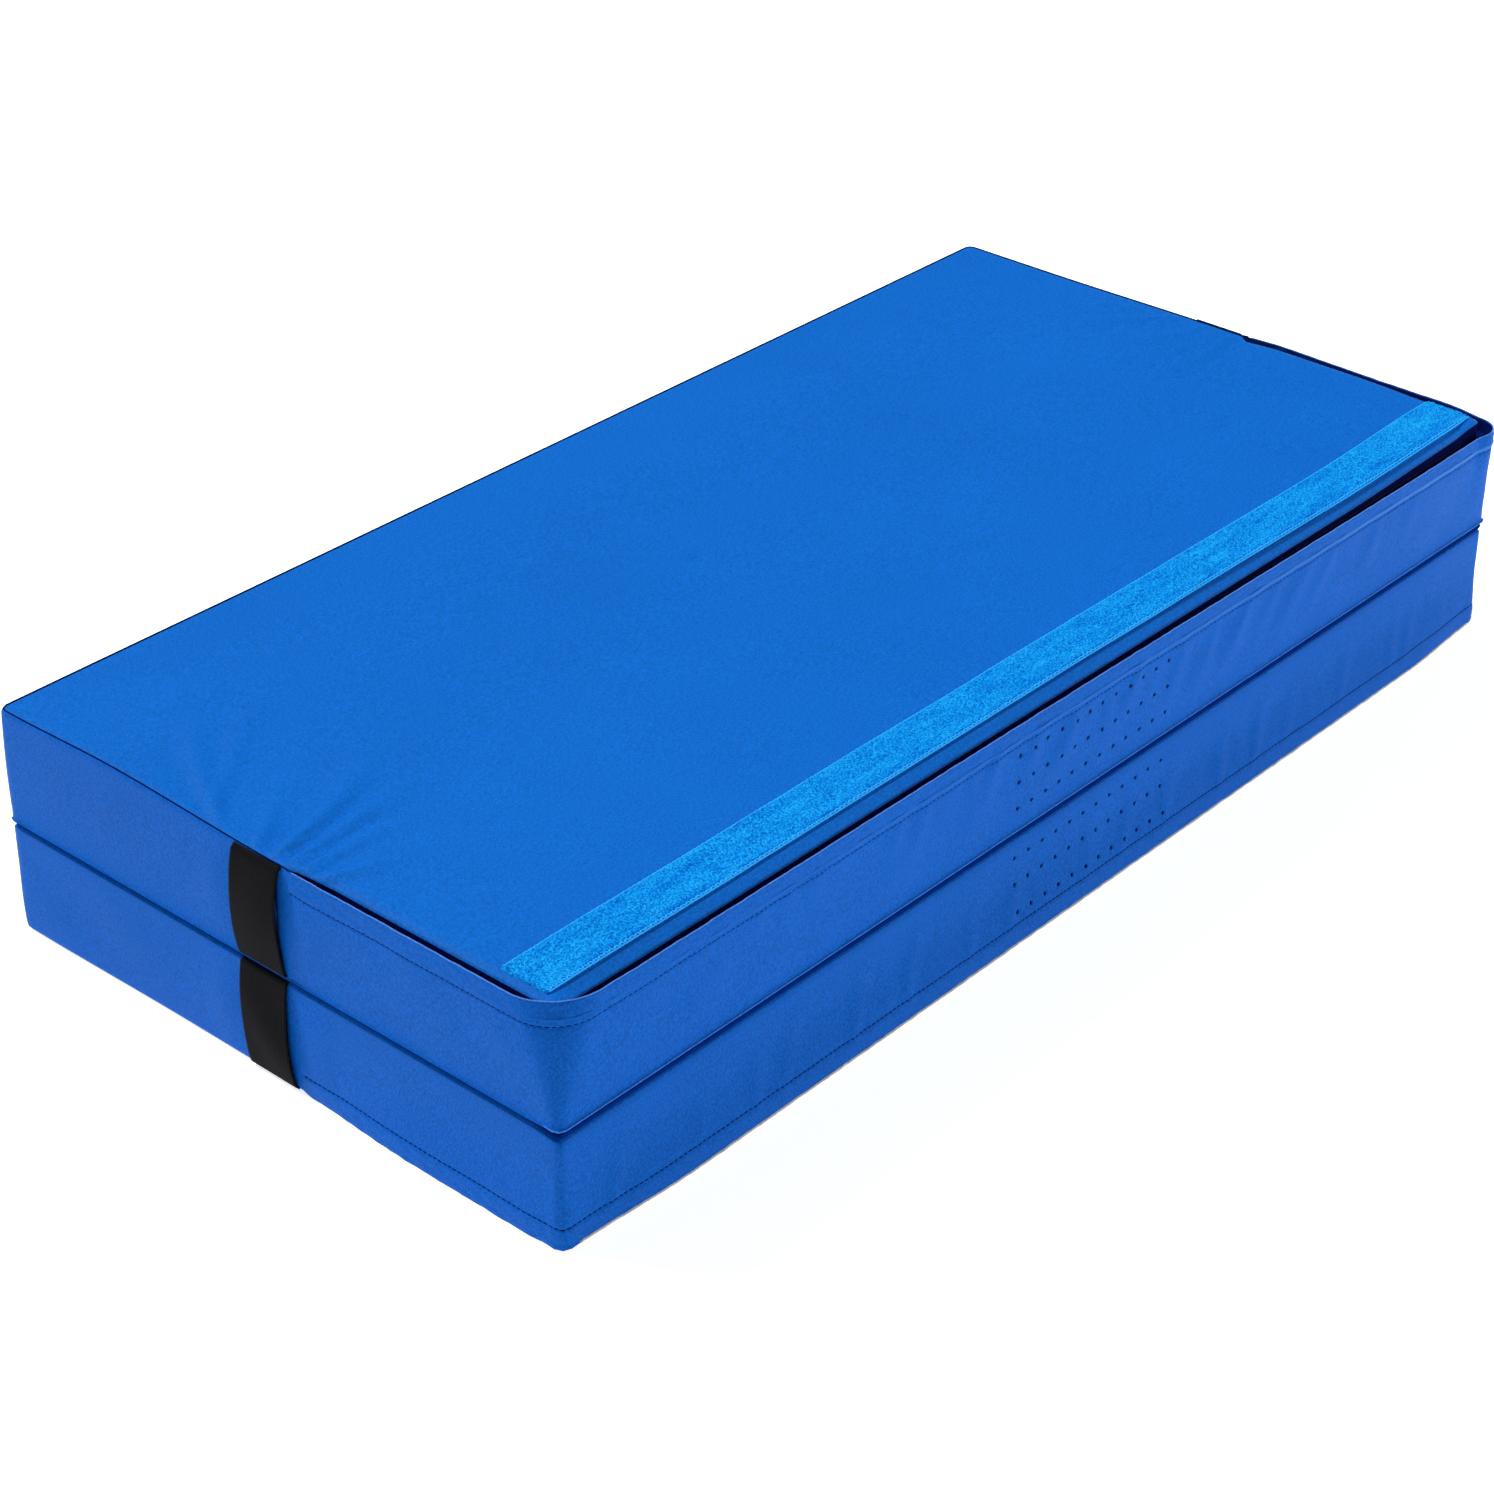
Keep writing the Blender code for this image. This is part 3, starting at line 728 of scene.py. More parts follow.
def grid_lines(half, step=0.0048):
    """Places of the grid's lines from -half to half, close together at the edges."""
    near = half - EDGE_STEPS
    count = int(round(2 * near[-1] / step))
    middle = np.linspace(-near[-1], near[-1], count + 1)[1:-1]
    return np.concatenate([-near, middle, near[::-1]])


def panel_plan():
    """A grid of places over the whole cushion."""
    return Plan(*np.meshgrid(grid_lines(HALF_LENGTH), grid_lines(HALF_DEPTH), indexing="ij"))


def place_panel(plan, rim_inset, radius):
    """Moves the panel's grid so that its rings follow the rounded outline, the outermost at rim_inset."""
    depth = plan.depth
    inset = np.where(depth < RIM_REACH, rim_inset + depth * (RIM_REACH - rim_inset) / RIM_REACH, depth)
    along = plan.along - depth
    zone = np.maximum(CORNER_ZONE - depth, 1e-5)
    along = np.where(along < zone, along / zone * CORNER_ZONE, along + depth)
    x, y, _, _ = plan.rounded(inset, radius, along)
    deep = depth >= CORNER_ZONE
    return np.where(deep, plan.x, x), np.where(deep, plan.y, y), inset


# Each fold of the outer face: its line, its width and its height.
PANEL_FOLDS = [
    (((-0.5920, 0.048), (-0.542, 0.132), (-0.490, 0.198)), 0.0125, 0.0036),
    (((-0.5900, 0.058), (-0.512, 0.121), (-0.440, 0.176)), 0.0110, 0.0026),
    (((-0.5970, -0.014), (-0.512, 0.008), (-0.436, 0.048)), 0.0125, 0.0082),
    (((-0.5970, -0.030), (-0.516, -0.020), (-0.430, -0.014)), 0.0105, 0.0076),
    (((-0.5970, -0.043), (-0.540, -0.042), (-0.470, -0.050)), 0.0085, 0.0052),
    (((-0.5960, -0.056), (-0.548, -0.077), (-0.490, -0.094)), 0.0090, 0.0036),
    (((-0.5970, 0.006), (-0.560, 0.030), (-0.515, 0.064)), 0.0080, 0.0034),
    (((0.594, 0.040), (0.548, 0.085), (0.505, 0.124)), 0.0090, 0.0024),
    (((0.594, -0.020), (0.530, -0.026), (0.470, -0.010)), 0.0085, 0.0030),
    (((0.594, 0.010), (0.540, 0.030), (0.488, 0.072)), 0.0090, 0.0024),
]
DIMPLES = ((0.258, 0.097), (-0.063, 0.060))


def panel_relief(cushion, x, y, depth):
    """How far the outer face stands off flat: slack on a slight crown, folds at the handles, dimples."""
    inside = smooth((depth - 0.004) / 0.030)
    if cushion.side < 0:
        return -0.0003 * inside
    slack = sample(cushion.panel_slack, x / HALF_LENGTH / 2 + 0.5, y / HALF_DEPTH / 2 + 0.5)
    relief = CROWN * smooth(depth / 0.16) + limited(slack, 0.0006, 0.0020) * inside
    relief += 0.00030 * inside * ripple(x, y, 0.150, 12) + 0.00010 * inside * ripple(x, y, 0.045, 22)
    for points, width, height in PANEL_FOLDS:
        relief += smooth(depth / 0.007) * crease(x, y, points, width, height * 1.45)
    for centre_x, centre_y in DIMPLES:
        distance = np.hypot(x - centre_x, y - centre_y)
        relief -= 0.0026 * np.exp(-(distance / 0.0065) ** 2)
    return relief


def outer_panel(cushion, fabric):
    """The face away from the fold: stuffed, creased, and rounded down to the zip's groove."""
    plan = panel_plan()
    rim, slope_start, slope, softness = rim_shape(plan.x, plan.y)
    radius = cushion.corner_radius(cushion.rim_corners, plan.x, plan.y)
    x, y, inset = place_panel(plan, rim, radius)
    turned_under = 0.0009 * (1 - smooth(plan.depth / 0.0022))
    up = CUSHION - slope * ramp(slope_start - inset, softness) - turned_under
    up = up + panel_relief(cushion, x, y, plan.depth) + cushion.rise(plan.x, plan.y)
    cushion.cover("top_cover", xyz(x, y, up), FABRIC, fabric, (0, 0, -cushion.side), "outer_panel")


def panel_height(cushion, x, y):
    """Height of the outer face's surface at places near the front edge, away from the corners."""
    inset = np.minimum(HALF_DEPTH - np.abs(y), HALF_LENGTH - np.abs(x))
    rim, _, _, _ = rim_shape(x, y)
    depth = np.where(inset < RIM_REACH, (inset - rim) * RIM_REACH / (RIM_REACH - rim), inset)
    relief = panel_relief(cushion, x, y, np.maximum(depth, 0)) + cushion.rise(x, y)
    return CUSHION - rim_height(x, y, inset) + relief


def inner_panel(cushion, fabric):
    """The face that lies on the other cushion, flat with a soft edge."""
    plan = panel_plan()
    x, y, _ = place_panel(plan, 0.0042, FOLD_CORNER + 0.002)
    up = 0.0001 + 0.0007 * (1 - smooth(plan.depth / 0.010)) ** 2
    up = up + 0.00010 * (1 + ripple(x, y, 0.12, 51 + cushion.side))
    cushion.cover("fold_face", xyz(x, y, up), FABRIC * 0.8, fabric, (0, 0, cushion.side), "inner_panel")


# Each fold of the front wall: its upper and lower x, their shares of the height, and its size.
WALL_FOLDS = [
    (-0.114, -0.163, 0.96, 0.20, 0.0034), (-0.148, -0.166, 0.88, 0.30, 0.0020),
    (-0.067, -0.098, 0.90, 0.30, 0.0028), (-0.022, -0.052, 0.86, 0.22, 0.0030),
    (0.026, 0.004, 0.80, 0.15, 0.0024), (0.066, 0.014, 0.90, 0.22, 0.0030),
    (0.125, 0.090, 0.88, 0.05, 0.0024), (0.170, 0.128, 0.80, 0.15, 0.0030),
    (0.218, 0.161, 0.86, 0.12, 0.0030), (0.262, 0.205, 0.85, 0.15, 0.0020),
    (0.306, 0.236, 0.82, 0.20, 0.0025), (0.345, 0.283, 0.82, 0.15, 0.0023),
    (0.412, 0.374, 0.80, 0.15, 0.0018), (0.470, 0.440, 0.80, 0.25, 0.0012),
    (-0.237, -0.262, 0.80, 0.50, 0.0022), (-0.328, -0.350, 0.88, 0.62, 0.0018),
    (-0.362, -0.380, 0.86, 0.60, 0.0017), (-0.393, -0.412, 0.84, 0.60, 0.0016),
    (-0.456, -0.476, 0.84, 0.60, 0.0015), (-0.205, -0.240, 0.90, 0.30, 0.0022),
]


def front_folds(cushion, x, height):
    """Slanting folds of the front wall: placed one by one on the upper cushion, scattered below."""
    x, height = np.broadcast_arrays(x, height)
    relief = np.zeros(x.shape)
    if cushion.side > 0:
        for top_x, foot_x, top, foot, size in WALL_FOLDS:
            middle = ((top_x + foot_x) / 2 + 0.004, (top + foot) / 2 * CUSHION)
            ends = ((top_x, top * CUSHION), middle, (foot_x, foot * CUSHION))
            relief += crease(x, height, ends, 0.0135, size * 0.80, 0.35)
        return relief
    random = np.random.default_rng(71)
    for place in np.arange(-0.52, 0.54, 0.065):
        top_x = place + random.uniform(-0.02, 0.02)
        lean = random.uniform(0.015, 0.040)
        ends = ((top_x - lean, 0.9 * CUSHION), (top_x - lean / 2, 0.55 * CUSHION), (top_x, 0.15 * CUSHION))
        relief += crease(x, height, ends, 0.010, random.uniform(0.0008, 0.0020), 0.4)
    return relief


def wall_relief(cushion, outline, slack, share):
    """How far the wall stands off flat. share is 0 at the fold and 1 at the outer edge."""
    x, y, run = outline.x, outline.y, outline.run
    height = share * CUSHION
    middle = np.sin(np.clip(share, 0, 1) * math.pi)
    away = 1 - smooth(1 - outline.along / 0.045)
    slack = sample(slack, run / outline.run[-1] + 0 * share, share + 0 * run)
    relief = 0.0012 * middle + limited(slack, 0.0007, 0.0028) * (0.3 + 0.7 * away)
    relief += 0.00025 * middle * ripple(run, height, 0.110, 31 + cushion.side)
    on_front = smooth((-y - HALF_DEPTH + 0.020) / 0.015)
    relief += on_front * away * front_folds(cushion, x, height)
    beside_handle = np.exp(-((np.abs(y) - 0.050) / 0.016) ** 2) * (np.abs(x) > HALF_LENGTH - 0.01)
    relief += 0.0016 * beside_handle * middle
    return relief * (1 - under_hinge(x, y, height))


def under_hinge(x, y, height):
    """1 where the hinge strip is sewn flat on the back wall, 0 away from it."""
    across = smooth((HINGE_HIGH.x + 0.012 - np.abs(x)) / 0.010) * smooth((y - HALF_DEPTH + 0.004) / 0.003)
    return across * (1 - smooth((height - (HINGE_HIGH.z - FOLD_HEIGHT)) / 0.008))


def wall_rows(cushion):
    """Shares of the wall's height: every bend of the lip, then spread, then close at the hem."""
    low = cushion.lip[:, 0] / CUSHION
    middle = np.linspace(low[-1], 0.790, 25)[1:]
    high = [0.800, 0.808, 0.815, 0.821, 0.828, 0.838, 0.852, 0.870, 0.892, 0.915, 0.938, 0.956, 0.970, 0.982,
            0.992, 1.0]
    return np.concatenate([low, middle, high])


def wall_points(cushion, outline, slack):
    """The outside of the wall: rows of points from the fold up to the outer edge, then over the hem."""
    share = wall_rows(cushion)[:, None]
    x, y, run, zipped = outline.x, outline.y, outline.run, outline.zip
    height = share * CUSHION
    lip = np.interp(height / fold_size(outline), cushion.lip[:, 0], cushion.lip[:, 1])
    shape = wall_relief(cushion, outline, slack, share)
    shape += np.where(lip > 0, lip * (1 - under_hinge(x, y, height)), lip)

    past_stitch = share - (1 - HEM_STITCH / CUSHION)
    above = smooth(past_stitch / 0.02)
    stitch = np.exp(-(past_stitch / 0.010) ** 2)
    rise = cushion.rise(x, y)
    splay = cushion.splay(x, y) * smooth((share - 0.40) / 0.60)
    pucker = 0.00022 * above * ripple(run, height * 2, 0.013, 44 + cushion.side)
    zip_out = shape - 0.0005 * stitch + (0.0005 + pucker) * above + splay
    zip_up = height + (cushion.hem_top(x, y) - CUSHION) * share ** 2

    turn = np.clip((height - (CUSHION - WALL_SEAM_ROUND)) / WALL_SEAM_ROUND, 0, 1) * math.radians(62)
    seam_up = np.where(turn > 0, CUSHION - WALL_SEAM_ROUND * (1 - np.sin(turn)), height)
    seam_up = seam_up + rise * share ** 2
    seam_out = shape - WALL_SEAM_ROUND * (1 - np.cos(turn)) * 0.62 + splay

    out, up = mix(seam_out, zip_out, zipped), mix(seam_up, zip_up, zipped)
    radius = mix(FOLD_CORNER, cushion.corner_radius(cushion.hem_corners, x, y), share ** 1.2)
    over_hem = ((0.0003, 0.0004), (0.0008, 0.0006), (0.0013, 0.0003), (0.0014, -0.0006))
    over_seam = ((0.0002, 0.0000), (0.0004, -0.0002), (0.0007, -0.0005), (0.0009, -0.0010))
    last_out, last_up, last_radius = out[-1:], up[-1:], radius[-1:]
    for (hem_in, hem_rise), (seam_in, seam_rise) in zip(over_hem, over_seam):
        out = np.concatenate([out, last_out - mix(seam_in, hem_in, zipped)])
        up = np.concatenate([up, last_up + mix(seam_rise, hem_rise, zipped)])
        radius = np.concatenate([radius, last_radius])
    return np.array([outline.place(*row) for row in zip(out, up, radius)])


def wall(cushion, part, outline, slack, fabric):
    """One wall of the cover: its object, and its grid of points in the world."""
    points = wall_points(cushion, outline, slack)
    inward = -xyz(outline.side_x * outline.on_end, outline.side_y * ~outline.on_end, 0.0)[None]
    obj = cushion.cover(f"{part}_cover", points, FABRIC, fabric, inward, part)
    return obj, cushion.world(points)


def object_from(shape, name):
    """A new object that holds a bmesh, which is used up."""
    mesh = bpy.data.meshes.new(name)
    shape.to_mesh(mesh)
    shape.free()
    return link(bpy.data.objects.new(name, mesh))


def punch_vents(cushion, wall_object):
    """Cuts the rows of small round vents through the front wall."""
    shape = bmesh.new()
    for share in VENT_HEIGHTS:
        for column in range(VENT_COLUMNS):
            x = VENT_MIDDLE + (column - (VENT_COLUMNS - 1) / 2) * VENT_STEP
            height = FOLD_HEIGHT + cushion.side * (FOLD_GAP / 2 + share)
            across = Matrix.Translation((x, -HALF_DEPTH, height)) @ Matrix.Rotation(math.pi / 2, 4, "X")
            bmesh.ops.create_cone(shape, cap_ends=True, segments=16, radius1=VENT_RADIUS, radius2=VENT_RADIUS,
                                  depth=0.018, matrix=across)
    bmesh.ops.recalc_face_normals(shape, faces=shape.faces)
    punches = object_from(shape, "punches")
    cut = wall_object.modifiers.new("Vents", "BOOLEAN")
    cut.operation, cut.solver, cut.object = "DIFFERENCE", "EXACT", punches
    bpy.context.view_layer.update()
    graph = bpy.context.evaluated_depsgraph_get()
    done = bpy.data.meshes.new_from_object(wall_object.evaluated_get(graph))
    wall_object.modifiers.clear()
    wall_object.data = done
    bpy.data.objects.remove(punches)


def foam_core(cushion, material):
    """The foam slab: a block with well rounded edges, a little smaller than the room in the cover."""
    low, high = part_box(f"{cushion.name}_foam_core")
    margin = Vector((0.0060, 0.0060, 0.0022))
    low, high = low + margin, high - margin
    shape = bmesh.new()
    bmesh.ops.create_cube(shape, size=1.0)
    for vertex in shape.verts:
        vertex.co = Vector(low[k] + (vertex.co[k] + 0.5) * (high[k] - low[k]) for k in range(3))
    bmesh.ops.bevel(shape, geom=shape.edges[:], offset=0.016, segments=5, profile=0.5, affect="EDGES")
    obj = object_from(shape, f"{cushion.name}_foam")
    obj.data.shade_smooth()
    obj.data.materials.append(material)
    cushion.keep(obj, "foam", "foam_core")


def swept(outline, section, radius):
    """A closed section swept along the groove: each corner of it is (out, up), numbers or one per station."""
    return np.stack([outline.place(out, up, radius) for out, up in section], axis=1)


def zip_parts(cushion, tape, coil):
    """The two tapes down the sides of the zip's groove, and the coil between them."""
    outline = outline_round(-1, 0.005, ZIP_START_Y + 0.004)
    x, y = outline.x, outline.y
    radius = cushion.corner_radius(cushion.hem_corners, x, y)
    rim_radius = cushion.corner_radius(cushion.rim_corners, x, y)
    near, far = CHAIN_OUT + CHAIN_HALF_WIDTH, CHAIN_OUT - CHAIN_HALF_WIDTH
    low, high = CHAIN_UP - 0.0003, CHAIN_UP + 0.0003
    lean = cushion.splay(x, y)
    start = smooth((x - 0.57) / 0.02) * (1 - smooth((-y - 0.03) / 0.17))
    top = cushion.hem_top(x, y) - 0.0003 - 0.0034 * start
    wall_side = [(lean - 0.0012, top), (lean - 0.0021, top), (lean * 0.80 - 0.0030, CUSHION - 0.0120),
                 (near - 0.0005, high), (near - 0.0005, low), (lean * 0.4 - 0.0023, low - 0.0012),
                 (lean * 0.25 - 0.0023, CUSHION - 0.0290), (lean * 0.25 - 0.0016, CUSHION - 0.0290),
                 (lean * 0.80 - 0.0014, CUSHION - 0.0100)]
    rim_out = -outline.rim
    rim_up = CUSHION - outline.rim_drop - 0.0012 + cushion.rise(x, y)
    panel_side = [(far + 0.0005, low), (far + 0.0005, high), (rim_out + 0.0002, CUSHION - 0.0118),
                  (rim_out + 0.0001, rim_up), (rim_out - 0.0012, rim_up),
                  (rim_out - 0.0014, CUSHION - 0.0128)]
    for part, section, bend in (("wall", wall_side, radius), ("panel", panel_side, rim_radius)):
        shape = tube_grid(cushion.world(swept(outline, section, bend)))
        obj = mesh_object(f"{cushion.name}_zip_tape_{part}_side", shape, tape)
        obj.data.set_sharp_from_angle(angle=math.radians(40))
        cushion.keep(obj, "zip_tape", f"zip_tape_{part}")

    path = cushion.world(outline.place(CHAIN_OUT, CHAIN_UP, mix(radius, rim_radius, 0.5)))
    points, ahead, _, _ = resample(path, TOOTH_STEP)
    up = upright(points) * cushion.side
    axes = np.stack([np.cross(up, ahead), ahead, up], axis=1)
    teeth = repeat_shape(lozenge(*TOOTH_SIZE), points, axes)
    cushion.keep(mesh_object(f"{cushion.name}_zip_coil", teeth, coil), "zip_coil", "zip_chain")


def handle(cushion, word, side_x, webbing):
    """A flat webbing handle: tucked into the seams at both ends, and standing off the wall between."""
    lengthwise, across = np.linspace(0, 1, 60)[:, None], np.linspace(-1, 1, 27)
    top = CUSHION + float(cushion.rise(side_x * HALF_LENGTH, 0.0)) + (0.0002 if cushion.side > 0 else -0.0006)
    peak = 0.0072 if cushion.side > 0 else 0.0058
    stand_off = peak * np.sin(math.pi * lengthwise ** 1.12) ** 0.80
    tuck = 0.0052 * (1 - smooth(lengthwise / 0.035)) + 0.0022 * (1 - smooth((1 - lengthwise) / 0.040))
    out = 0.0021 + stand_off - tuck
    middle = np.sin(math.pi * lengthwise)
    wave = 0.0007 * np.sin(lengthwise * 5 + across * 2.4 + side_x)
    x = side_x * (HALF_LENGTH + out + (wave - 0.0005 * across ** 2) * middle)
    y = across * 0.025 * (1 - 0.012 * middle) + 0.0012 * np.sin(lengthwise * 3.0 + 1.0)
    points = xyz(x, y, mix(0.0002, top, lengthwise))
    cushion.cover(f"webbing_{word}", points, 0.0015, webbing, (-side_x, 0, 0), f"handle_{word}", "webbing")


def strip_drift(x):
    """How far the loop strip runs forward of a straight line, towards its right end."""
    return 0.0038 * smooth((x + 0.1) / 0.7)


def loop_strip(cushion, material, selvedge_material, thread):
    """The brushed loop strip: pile between two woven edges, following the panel down at the right end."""
    low_x, high_x = LOOP_LOW.x - 0.003, HALF_LENGTH - 0.0098
    low_y, high_y = LOOP_LOW.y, LOOP_HIGH.y - 0.0015
    across = np.linspace(low_y + 0.0010, high_y - 0.0010, 43)
    across = np.concatenate([[low_y, low_y + 0.0003], across, [high_y - 0.0003, high_y]])
    x, y = np.meshgrid(np.arange(low_x, high_x, 0.0011), across, indexing="ij")
    side_edge = np.minimum(y - low_y, high_y - y)
    edge = np.minimum(side_edge, np.minimum(x - low_x, high_x - x))
    pile = smooth((np.minimum(y - low_y, high_y - y + 0.0020) - 0.0034) / 0.0010) * smooth(edge / 0.0008)
    y = y - strip_drift(x)
    random = np.random.default_rng(5)
    fuzz = 0.00040 * random.standard_normal(x.shape) + 0.00035 * ripple(x, y, 0.0050, 61, 20)
    selvedge = 0.0012 * smooth(edge / 0.0004) + 0.00008 * random.standard_normal(x.shape)
    pleats = 0.00045 * ripple(x + 0.5 * y, 0.3 * y, 0.030, 63)
    lift = selvedge + pile * (0.0009 + fuzz + pleats)
    base = panel_height(cushion, x, y)
    y = y + 0.00025 * ripple(x, y, 0.012, 62) * (side_edge < 0.0006)
    points = cushion.world(xyz(x, y, base + 0.0002 + lift))
    flat = cushion.world(xyz(x, y, base - 0.0004))
    obj = closed_sheet(f"{cushion.name}_loop_pile", points, flat, material)
    obj.data.materials.append(selvedge_material)
    middle = np.empty((len(obj.data.polygons), 3), np.float32)
    obj.data.polygons.foreach_get("center", middle.ravel())
    on_selvedge = middle[:, 1] < low_y + 0.0038 - strip_drift(middle[:, 0])
    obj.data.polygons.foreach_set("material_index", on_selvedge.astype(np.int32))
    cushion.keep(obj, "loop_tape", "loop_strip")
    rows = (("front", low_y + 0.0028, 0.85, 0.0016), ("edge", low_y + 0.0006, 0.1, 0.0014),
            ("back", high_y - 0.0008, 0.3, 0.0014))
    for word, place, lean, size in rows:
        line_x = np.arange(low_x + 0.002, high_x - 0.002, 0.004)
        line_y = place - strip_drift(line_x)
        line_up = panel_height(cushion, line_x, line_y) + 0.0014
        path = cushion.world(xyz(line_x, line_y, line_up))
        sewing = (0.0026, 0.0030, size)
        cushion.sew(f"loop_stitch_{word}", path, upright(path), sewing, thread, "loop_tape", lean)


def fold_seam(cushion, outlines, walls, shadow_cord, crest_highlight_material):
    """A dark cord along the fold, thickest along the front, as painted shadow in the gap between the
    cushions, and a light cord on the crest above it as painted highlight.
    """
    crest_row = int(np.argmax(cushion.lip[:, 1]))
    for word, outline, points in zip(("front", "rear"), outlines, walls):
        outward = outline.outward()
        on_front = 2 * fold_size(outline) - 1
        thick = mix(0.0012, 0.0012 if cushion.side > 0 else 0.0027, on_front)
        # The dark cord stands in for the shadow in the gap: painted shadow.
        middle = cushion.world(outline.place(-0.0014 - 0.4 * thick, thick, 0.0040))
        cushion.line(f"fold_piping_{word}", middle, outward, thick, thick, 8, shadow_cord)
        if cushion.side > 0 and word == "front":
            near = on_front > 0.5
            path = points[crest_row][near]
            # The light crest cord is a painted highlight.
            cushion.line("fold_crest_highlight", path, outward[near], 0.0006, 0.0006, 6, crest_highlight_material)


def seam_threads(cushion, outlines, walls, thread, edge_highlight_material, ridge_highlight_material):
    """Stitches and threads along the hem and along the sewn seam behind the handles, a light cord of painted
    highlight on the hem's folded edge, and a painted highlight on the upper hem's ridge.
    """
    (front, rear), (front_points, rear_points) = outlines, walls
    upper = cushion.side > 0
    rows = wall_rows(cushion)
    edge_row = len(rows) + 1
    zipped = front.zip > 0.5
    outward = front.outward()[zipped]
    stitch_row = int(np.argmin(np.abs(rows - (1 - HEM_STITCH / CUSHION))))
    cushion.sew("hem_stitch", front_points[stitch_row][zipped], outward, HEM_SEWING, thread)
    hem = front_points[edge_row][zipped]
    if upper:
        past = front.zip[zipped] > 0.97
        # Light cord on the folded edge: painted highlight.
        cushion.line("hem_edge_highlight", hem[past], outward[past], 0.0006, 0.0005, 6, edge_highlight_material)
        ridge_row = int(np.argmin(np.abs(rows - 0.870)))
        sunk = 0.00035 * (1 - smooth((front.x[zipped] + 0.55) / 0.50))
        ridge = front_points[ridge_row][zipped] - outward * sunk[:, None]
        # The ridge's material paints a highlight that grows paler towards the right end.
        cushion.line("hem_ridge_highlight", ridge, outward, 0.00045, 0.0018, 10, ridge_highlight_material)
    else:
        along_front = front.y[zipped] < -HALF_DEPTH + 0.001
        inner = (np.abs(front.x[zipped]) < HALF_LENGTH - 0.012) & along_front
        # Pale cord along the lower hem's edge: painted highlight.
        shifted = hem[inner] + outward[inner] * 0.0006 + (0, 0, 0.0012)
        cushion.line("hem_edge_highlight", shifted, outward[inner], 0.0013, 0.0012, 8, edge_highlight_material)
    seam_out = rear.outward()
    lifted = rear_points[edge_row] + (0, 0, 0.0001 if upper else 0.0006)
    cushion.sew("seam_stitch", lifted, seam_out, SEAM_SEWING, thread)
    cushion.line("seam_thread", lifted, seam_out, SEAM_THREAD, SEAM_THREAD, 6, thread)
    for word, end in (("left", front.x < 0), ("right", front.x > 0)):
        sewn = end & (front.zip < 0.95)
        path = front_points[edge_row][sewn] + (0, 0, 0.0003 if upper else 0.0010)
        cushion.line(f"seam_end_{word}", path, front.outward()[sewn], SEAM_THREAD, SEAM_THREAD, 6, thread)


def fold_hinge(fabric, thread):
    """The cloth strip along the back that joins the cushions, in one piece across the fold."""
    half_height = HINGE_HIGH.z - FOLD_HEIGHT
    far, middle = np.linspace(0.004, half_height, 9), np.linspace(-0.003, 0.003, 9)
    offsets = np.concatenate([-far[::-1], middle, far])
    along = np.linspace(HINGE_LOW.x, HINGE_HIGH.x, 150)
    z, x = np.meshgrid(FOLD_HEIGHT + offsets, along, indexing="ij")
    y = HALF_DEPTH + 0.0012 - 0.0004 * np.exp(-((z - FOLD_HEIGHT) / 0.006) ** 2)
    y = y + 0.00008 * ripple(x, z, 0.08, 91)
    obj = sheet_shell("fold_hinge_strip", xyz(x, y, z), 0.0006, fabric, (0, -1, 0))
    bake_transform(obj)
    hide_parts("lower_hinge_tape", "upper_hinge_tape")
    for body, sign in (("lower", -1), ("upper", 1)):
        line = FOLD_HEIGHT + sign * (half_height - 0.004)
        path = xyz(along, HALF_DEPTH + 0.0011, line)
        normals = np.tile([0.0, 1.0, 0.0], (len(path), 1))
        row = stitches(f"{body}_hinge_stitch", path, normals, *HINGE_SEWING, thread)
        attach(row, f"{body}_cushion")


def finish_metal(metal):
    """The zip's own metal pieces keep their solids and take a better surface."""
    for name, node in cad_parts.items():
        if "zip_stop" in name or "zip_slider" in name or "zip_pull" in name:
            node.data.materials.clear()
            node.data.materials.append(metal)


# ---- floor, light and camera

FLOOR_REACH = 14.0
BACKDROP_RADIUS = 13.5
SUNS = (("key", (-0.16, 0.56, 0.81), 10, 3.47),
        ("side", (0.80, -0.50, 0.33), 14, 1.4),
        ("corner", (-0.62, -0.72, 0.30), 40, 0.45))
SOFT_BOX_SIZE = (0.9, 0.5)
SOFT_BOX_POWER = 4.0
SOFT_BOX_PLACE = (1.75, -1.10, 0.32)
SOFT_BOX_AIM = (0.35, -0.30, 0.10)
CAMERA_SENSOR = 36.0
CAMERA_LENS = 80.85
CAMERA_PLACE = (-1.8671, -1.5991, 1.5281)
CAMERA_AZIMUTH = -48.341
CAMERA_ELEVATION = 31.645


def stage():
    """A plain white floor, lit a little from within so that the object casts almost no shadow."""
    corners = np.array([(-1, -1, 0), (1, -1, 0), (1, 1, 0), (-1, 1, 0)]) * FLOOR_REACH
    mesh = bpy.data.meshes.new("floor")
    mesh.from_pydata(corners.tolist(), [], [(0, 1, 2, 3)])
    mesh.materials.append(pale_material("floor", 0.78, 0.70, 0.74))
    link(bpy.data.objects.new("floor", mesh))


def backdrop():
    """A pale wall far behind the object on every side, which neither lights nor shades it."""
    turn = turns(64)
    x, y = np.cos(turn) * BACKDROP_RADIUS, np.sin(turn) * BACKDROP_RADIUS
    rings = np.array([xyz(x, y, height) for height in (-0.02, 6.0)])
    paper = pale_material("backdrop", 1.0, 0.02, 0.03)
    wall = mesh_object("backdrop", (rings, grid_faces(2, 64, wrap=True)), paper)
    wall.visible_shadow = wall.visible_diffuse = wall.visible_glossy = False


def aimed(name, data, location, towards):
    """A light or camera at a location, looking along a direction."""
    obj = bpy.data.objects.new(name, data)
    obj.location = location
    obj.rotation_mode = "QUATERNION"
    obj.rotation_quaternion = towards.to_track_quat("-Z", "Y")
    return link(obj)


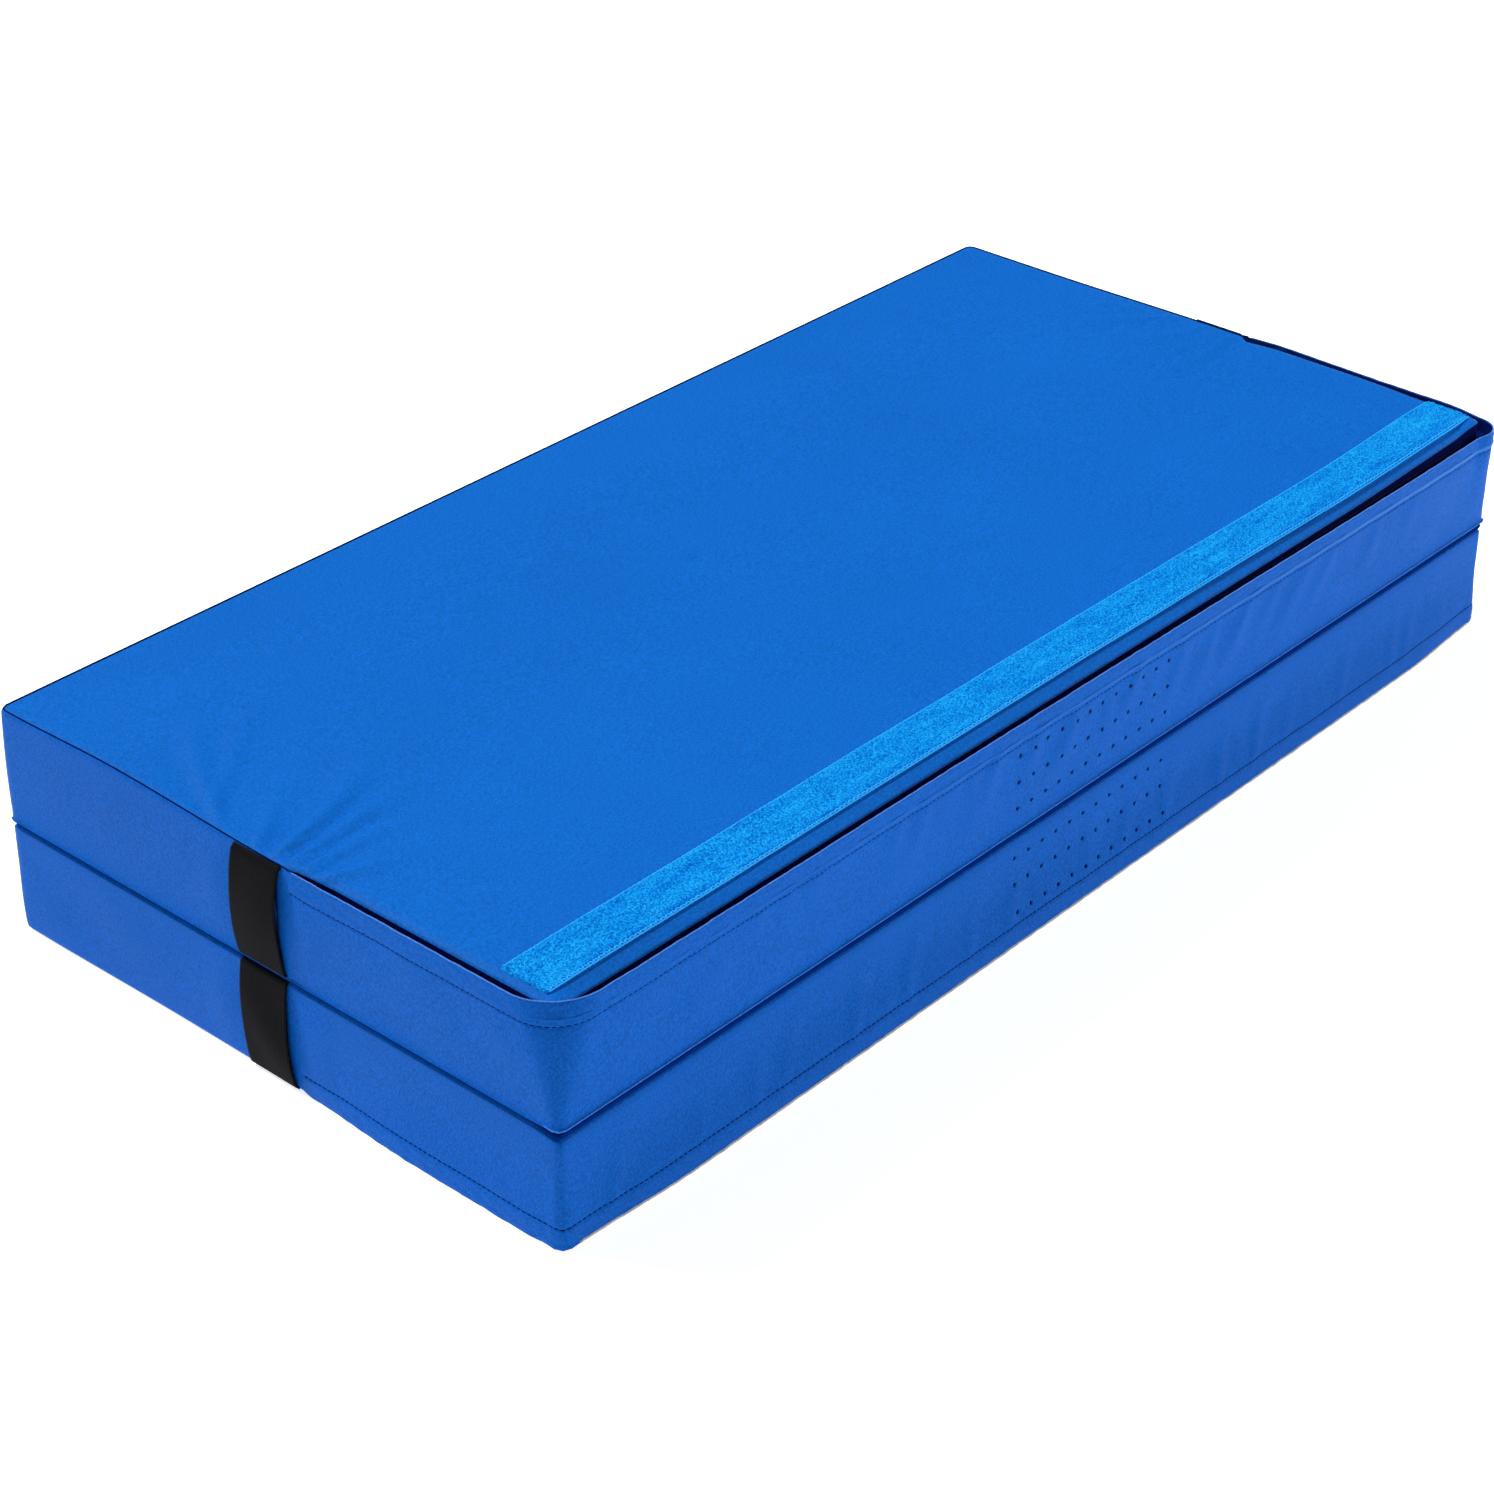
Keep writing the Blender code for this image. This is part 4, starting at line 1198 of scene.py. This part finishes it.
def lights():
    """Three soft suns, each with the direction to it, and a soft box low on the right."""
    world = bpy.data.worlds.new("studio")
    bpy.context.scene.world = world
    world.use_nodes = True
    background = world.node_tree.nodes["Background"]
    background.inputs["Color"].default_value = (1.0, 1.0, 1.0, 1.0)
    background.inputs["Strength"].default_value = 0.10
    for name, direction, degrees, strength in SUNS:
        data = bpy.data.lights.new(name, "SUN")
        data.angle, data.energy = math.radians(degrees), strength
        aimed(name, data, Vector(direction) * 3, -Vector(direction))
    data = bpy.data.lights.new("right", "AREA")
    data.shape, data.size, data.size_y, data.energy = "RECTANGLE", *SOFT_BOX_SIZE, SOFT_BOX_POWER
    lamp = aimed("right", data, SOFT_BOX_PLACE, Vector(SOFT_BOX_AIM) - Vector(SOFT_BOX_PLACE))
    lamp.visible_camera = False


def camera():
    data = bpy.data.cameras.new("camera")
    data.sensor_width, data.lens = CAMERA_SENSOR, CAMERA_LENS
    data.clip_start, data.clip_end = 0.1, 60.0
    azimuth, elevation = math.radians(CAMERA_AZIMUTH), math.radians(CAMERA_ELEVATION)
    level = math.cos(elevation)
    back = Vector((math.sin(azimuth) * level, -math.cos(azimuth) * level, math.sin(elevation)))
    bpy.context.scene.camera = aimed("camera", data, CAMERA_PLACE, -back)


# ---- assembly


def build():
    fabric = cover_fabric("cover_fabric", (0.0036, 0.129, 0.545), 0.05)
    # The walls and the hinge strip take a darker, less shiny copy of the cover fabric: painted shade, for
    # they are the same cloth as the panels.
    shaded_wall_fabric = cover_fabric("cover_fabric_walls_shaded", (0.0026, 0.100, 0.475), 0.038)
    foam, webbing, tape, ridge = foam_material_painted_shade(), webbing_material(), tape_material(), hem_ridge_highlight_material()
    loops = loop_material("loop_tape", (0.0012, 0.125, 0.575), (0.0025, 0.262, 0.800), (0.016, 0.450, 0.930))
    selvedge = loop_material("loop_selvedge", (0.0010, 0.080, 0.440), (0.0015, 0.140, 0.640),
                             (0.0020, 0.230, 0.860))
    plain = {name: plain_material(name, *look) for name, look in PLAIN_LOOKS.items()}
    for name, side in (("lower", -1), ("upper", 1)):
        cushion = Cushion(name, side)
        foam_core(cushion, foam)
        outer_panel(cushion, fabric)
        inner_panel(cushion, fabric)
        outlines = outline_round(-1, 0.0040, WALL_JOINT_Y), outline_round(1, 0.0050, WALL_JOINT_Y + 0.0003)
        front_wall, front = wall(cushion, "front_wall", outlines[0], cushion.front_slack, shaded_wall_fabric)
        _, rear = wall(cushion, "rear_wall", outlines[1], cushion.rear_slack, shaded_wall_fabric)
        punch_vents(cushion, front_wall)
        # Each hem's edge cord has a painted highlight colour.
        hem_edge_highlight = plain["hem_edge_highlight"] if side > 0 else plain["lower_hem_highlight"]
        seam_threads(cushion, outlines, (front, rear), plain["thread"], hem_edge_highlight, ridge)
        fold_seam(cushion, outlines, (front, rear), plain["fold_piping"], plain["fold_crest_highlight"])
        zip_parts(cushion, tape, plain["zip_coil"])
        for word, side_x in (("left", -1), ("right", 1)):
            handle(cushion, word, side_x, webbing)
        if side > 0:
            loop_strip(cushion, loops, selvedge, plain["loop_thread"])
    fold_hinge(shaded_wall_fabric, plain["thread"])
    finish_metal(plain["zip_metal"])


bpy.context.scene.view_settings.view_transform = "Standard"
stage()
backdrop()
lights()
camera()
build()
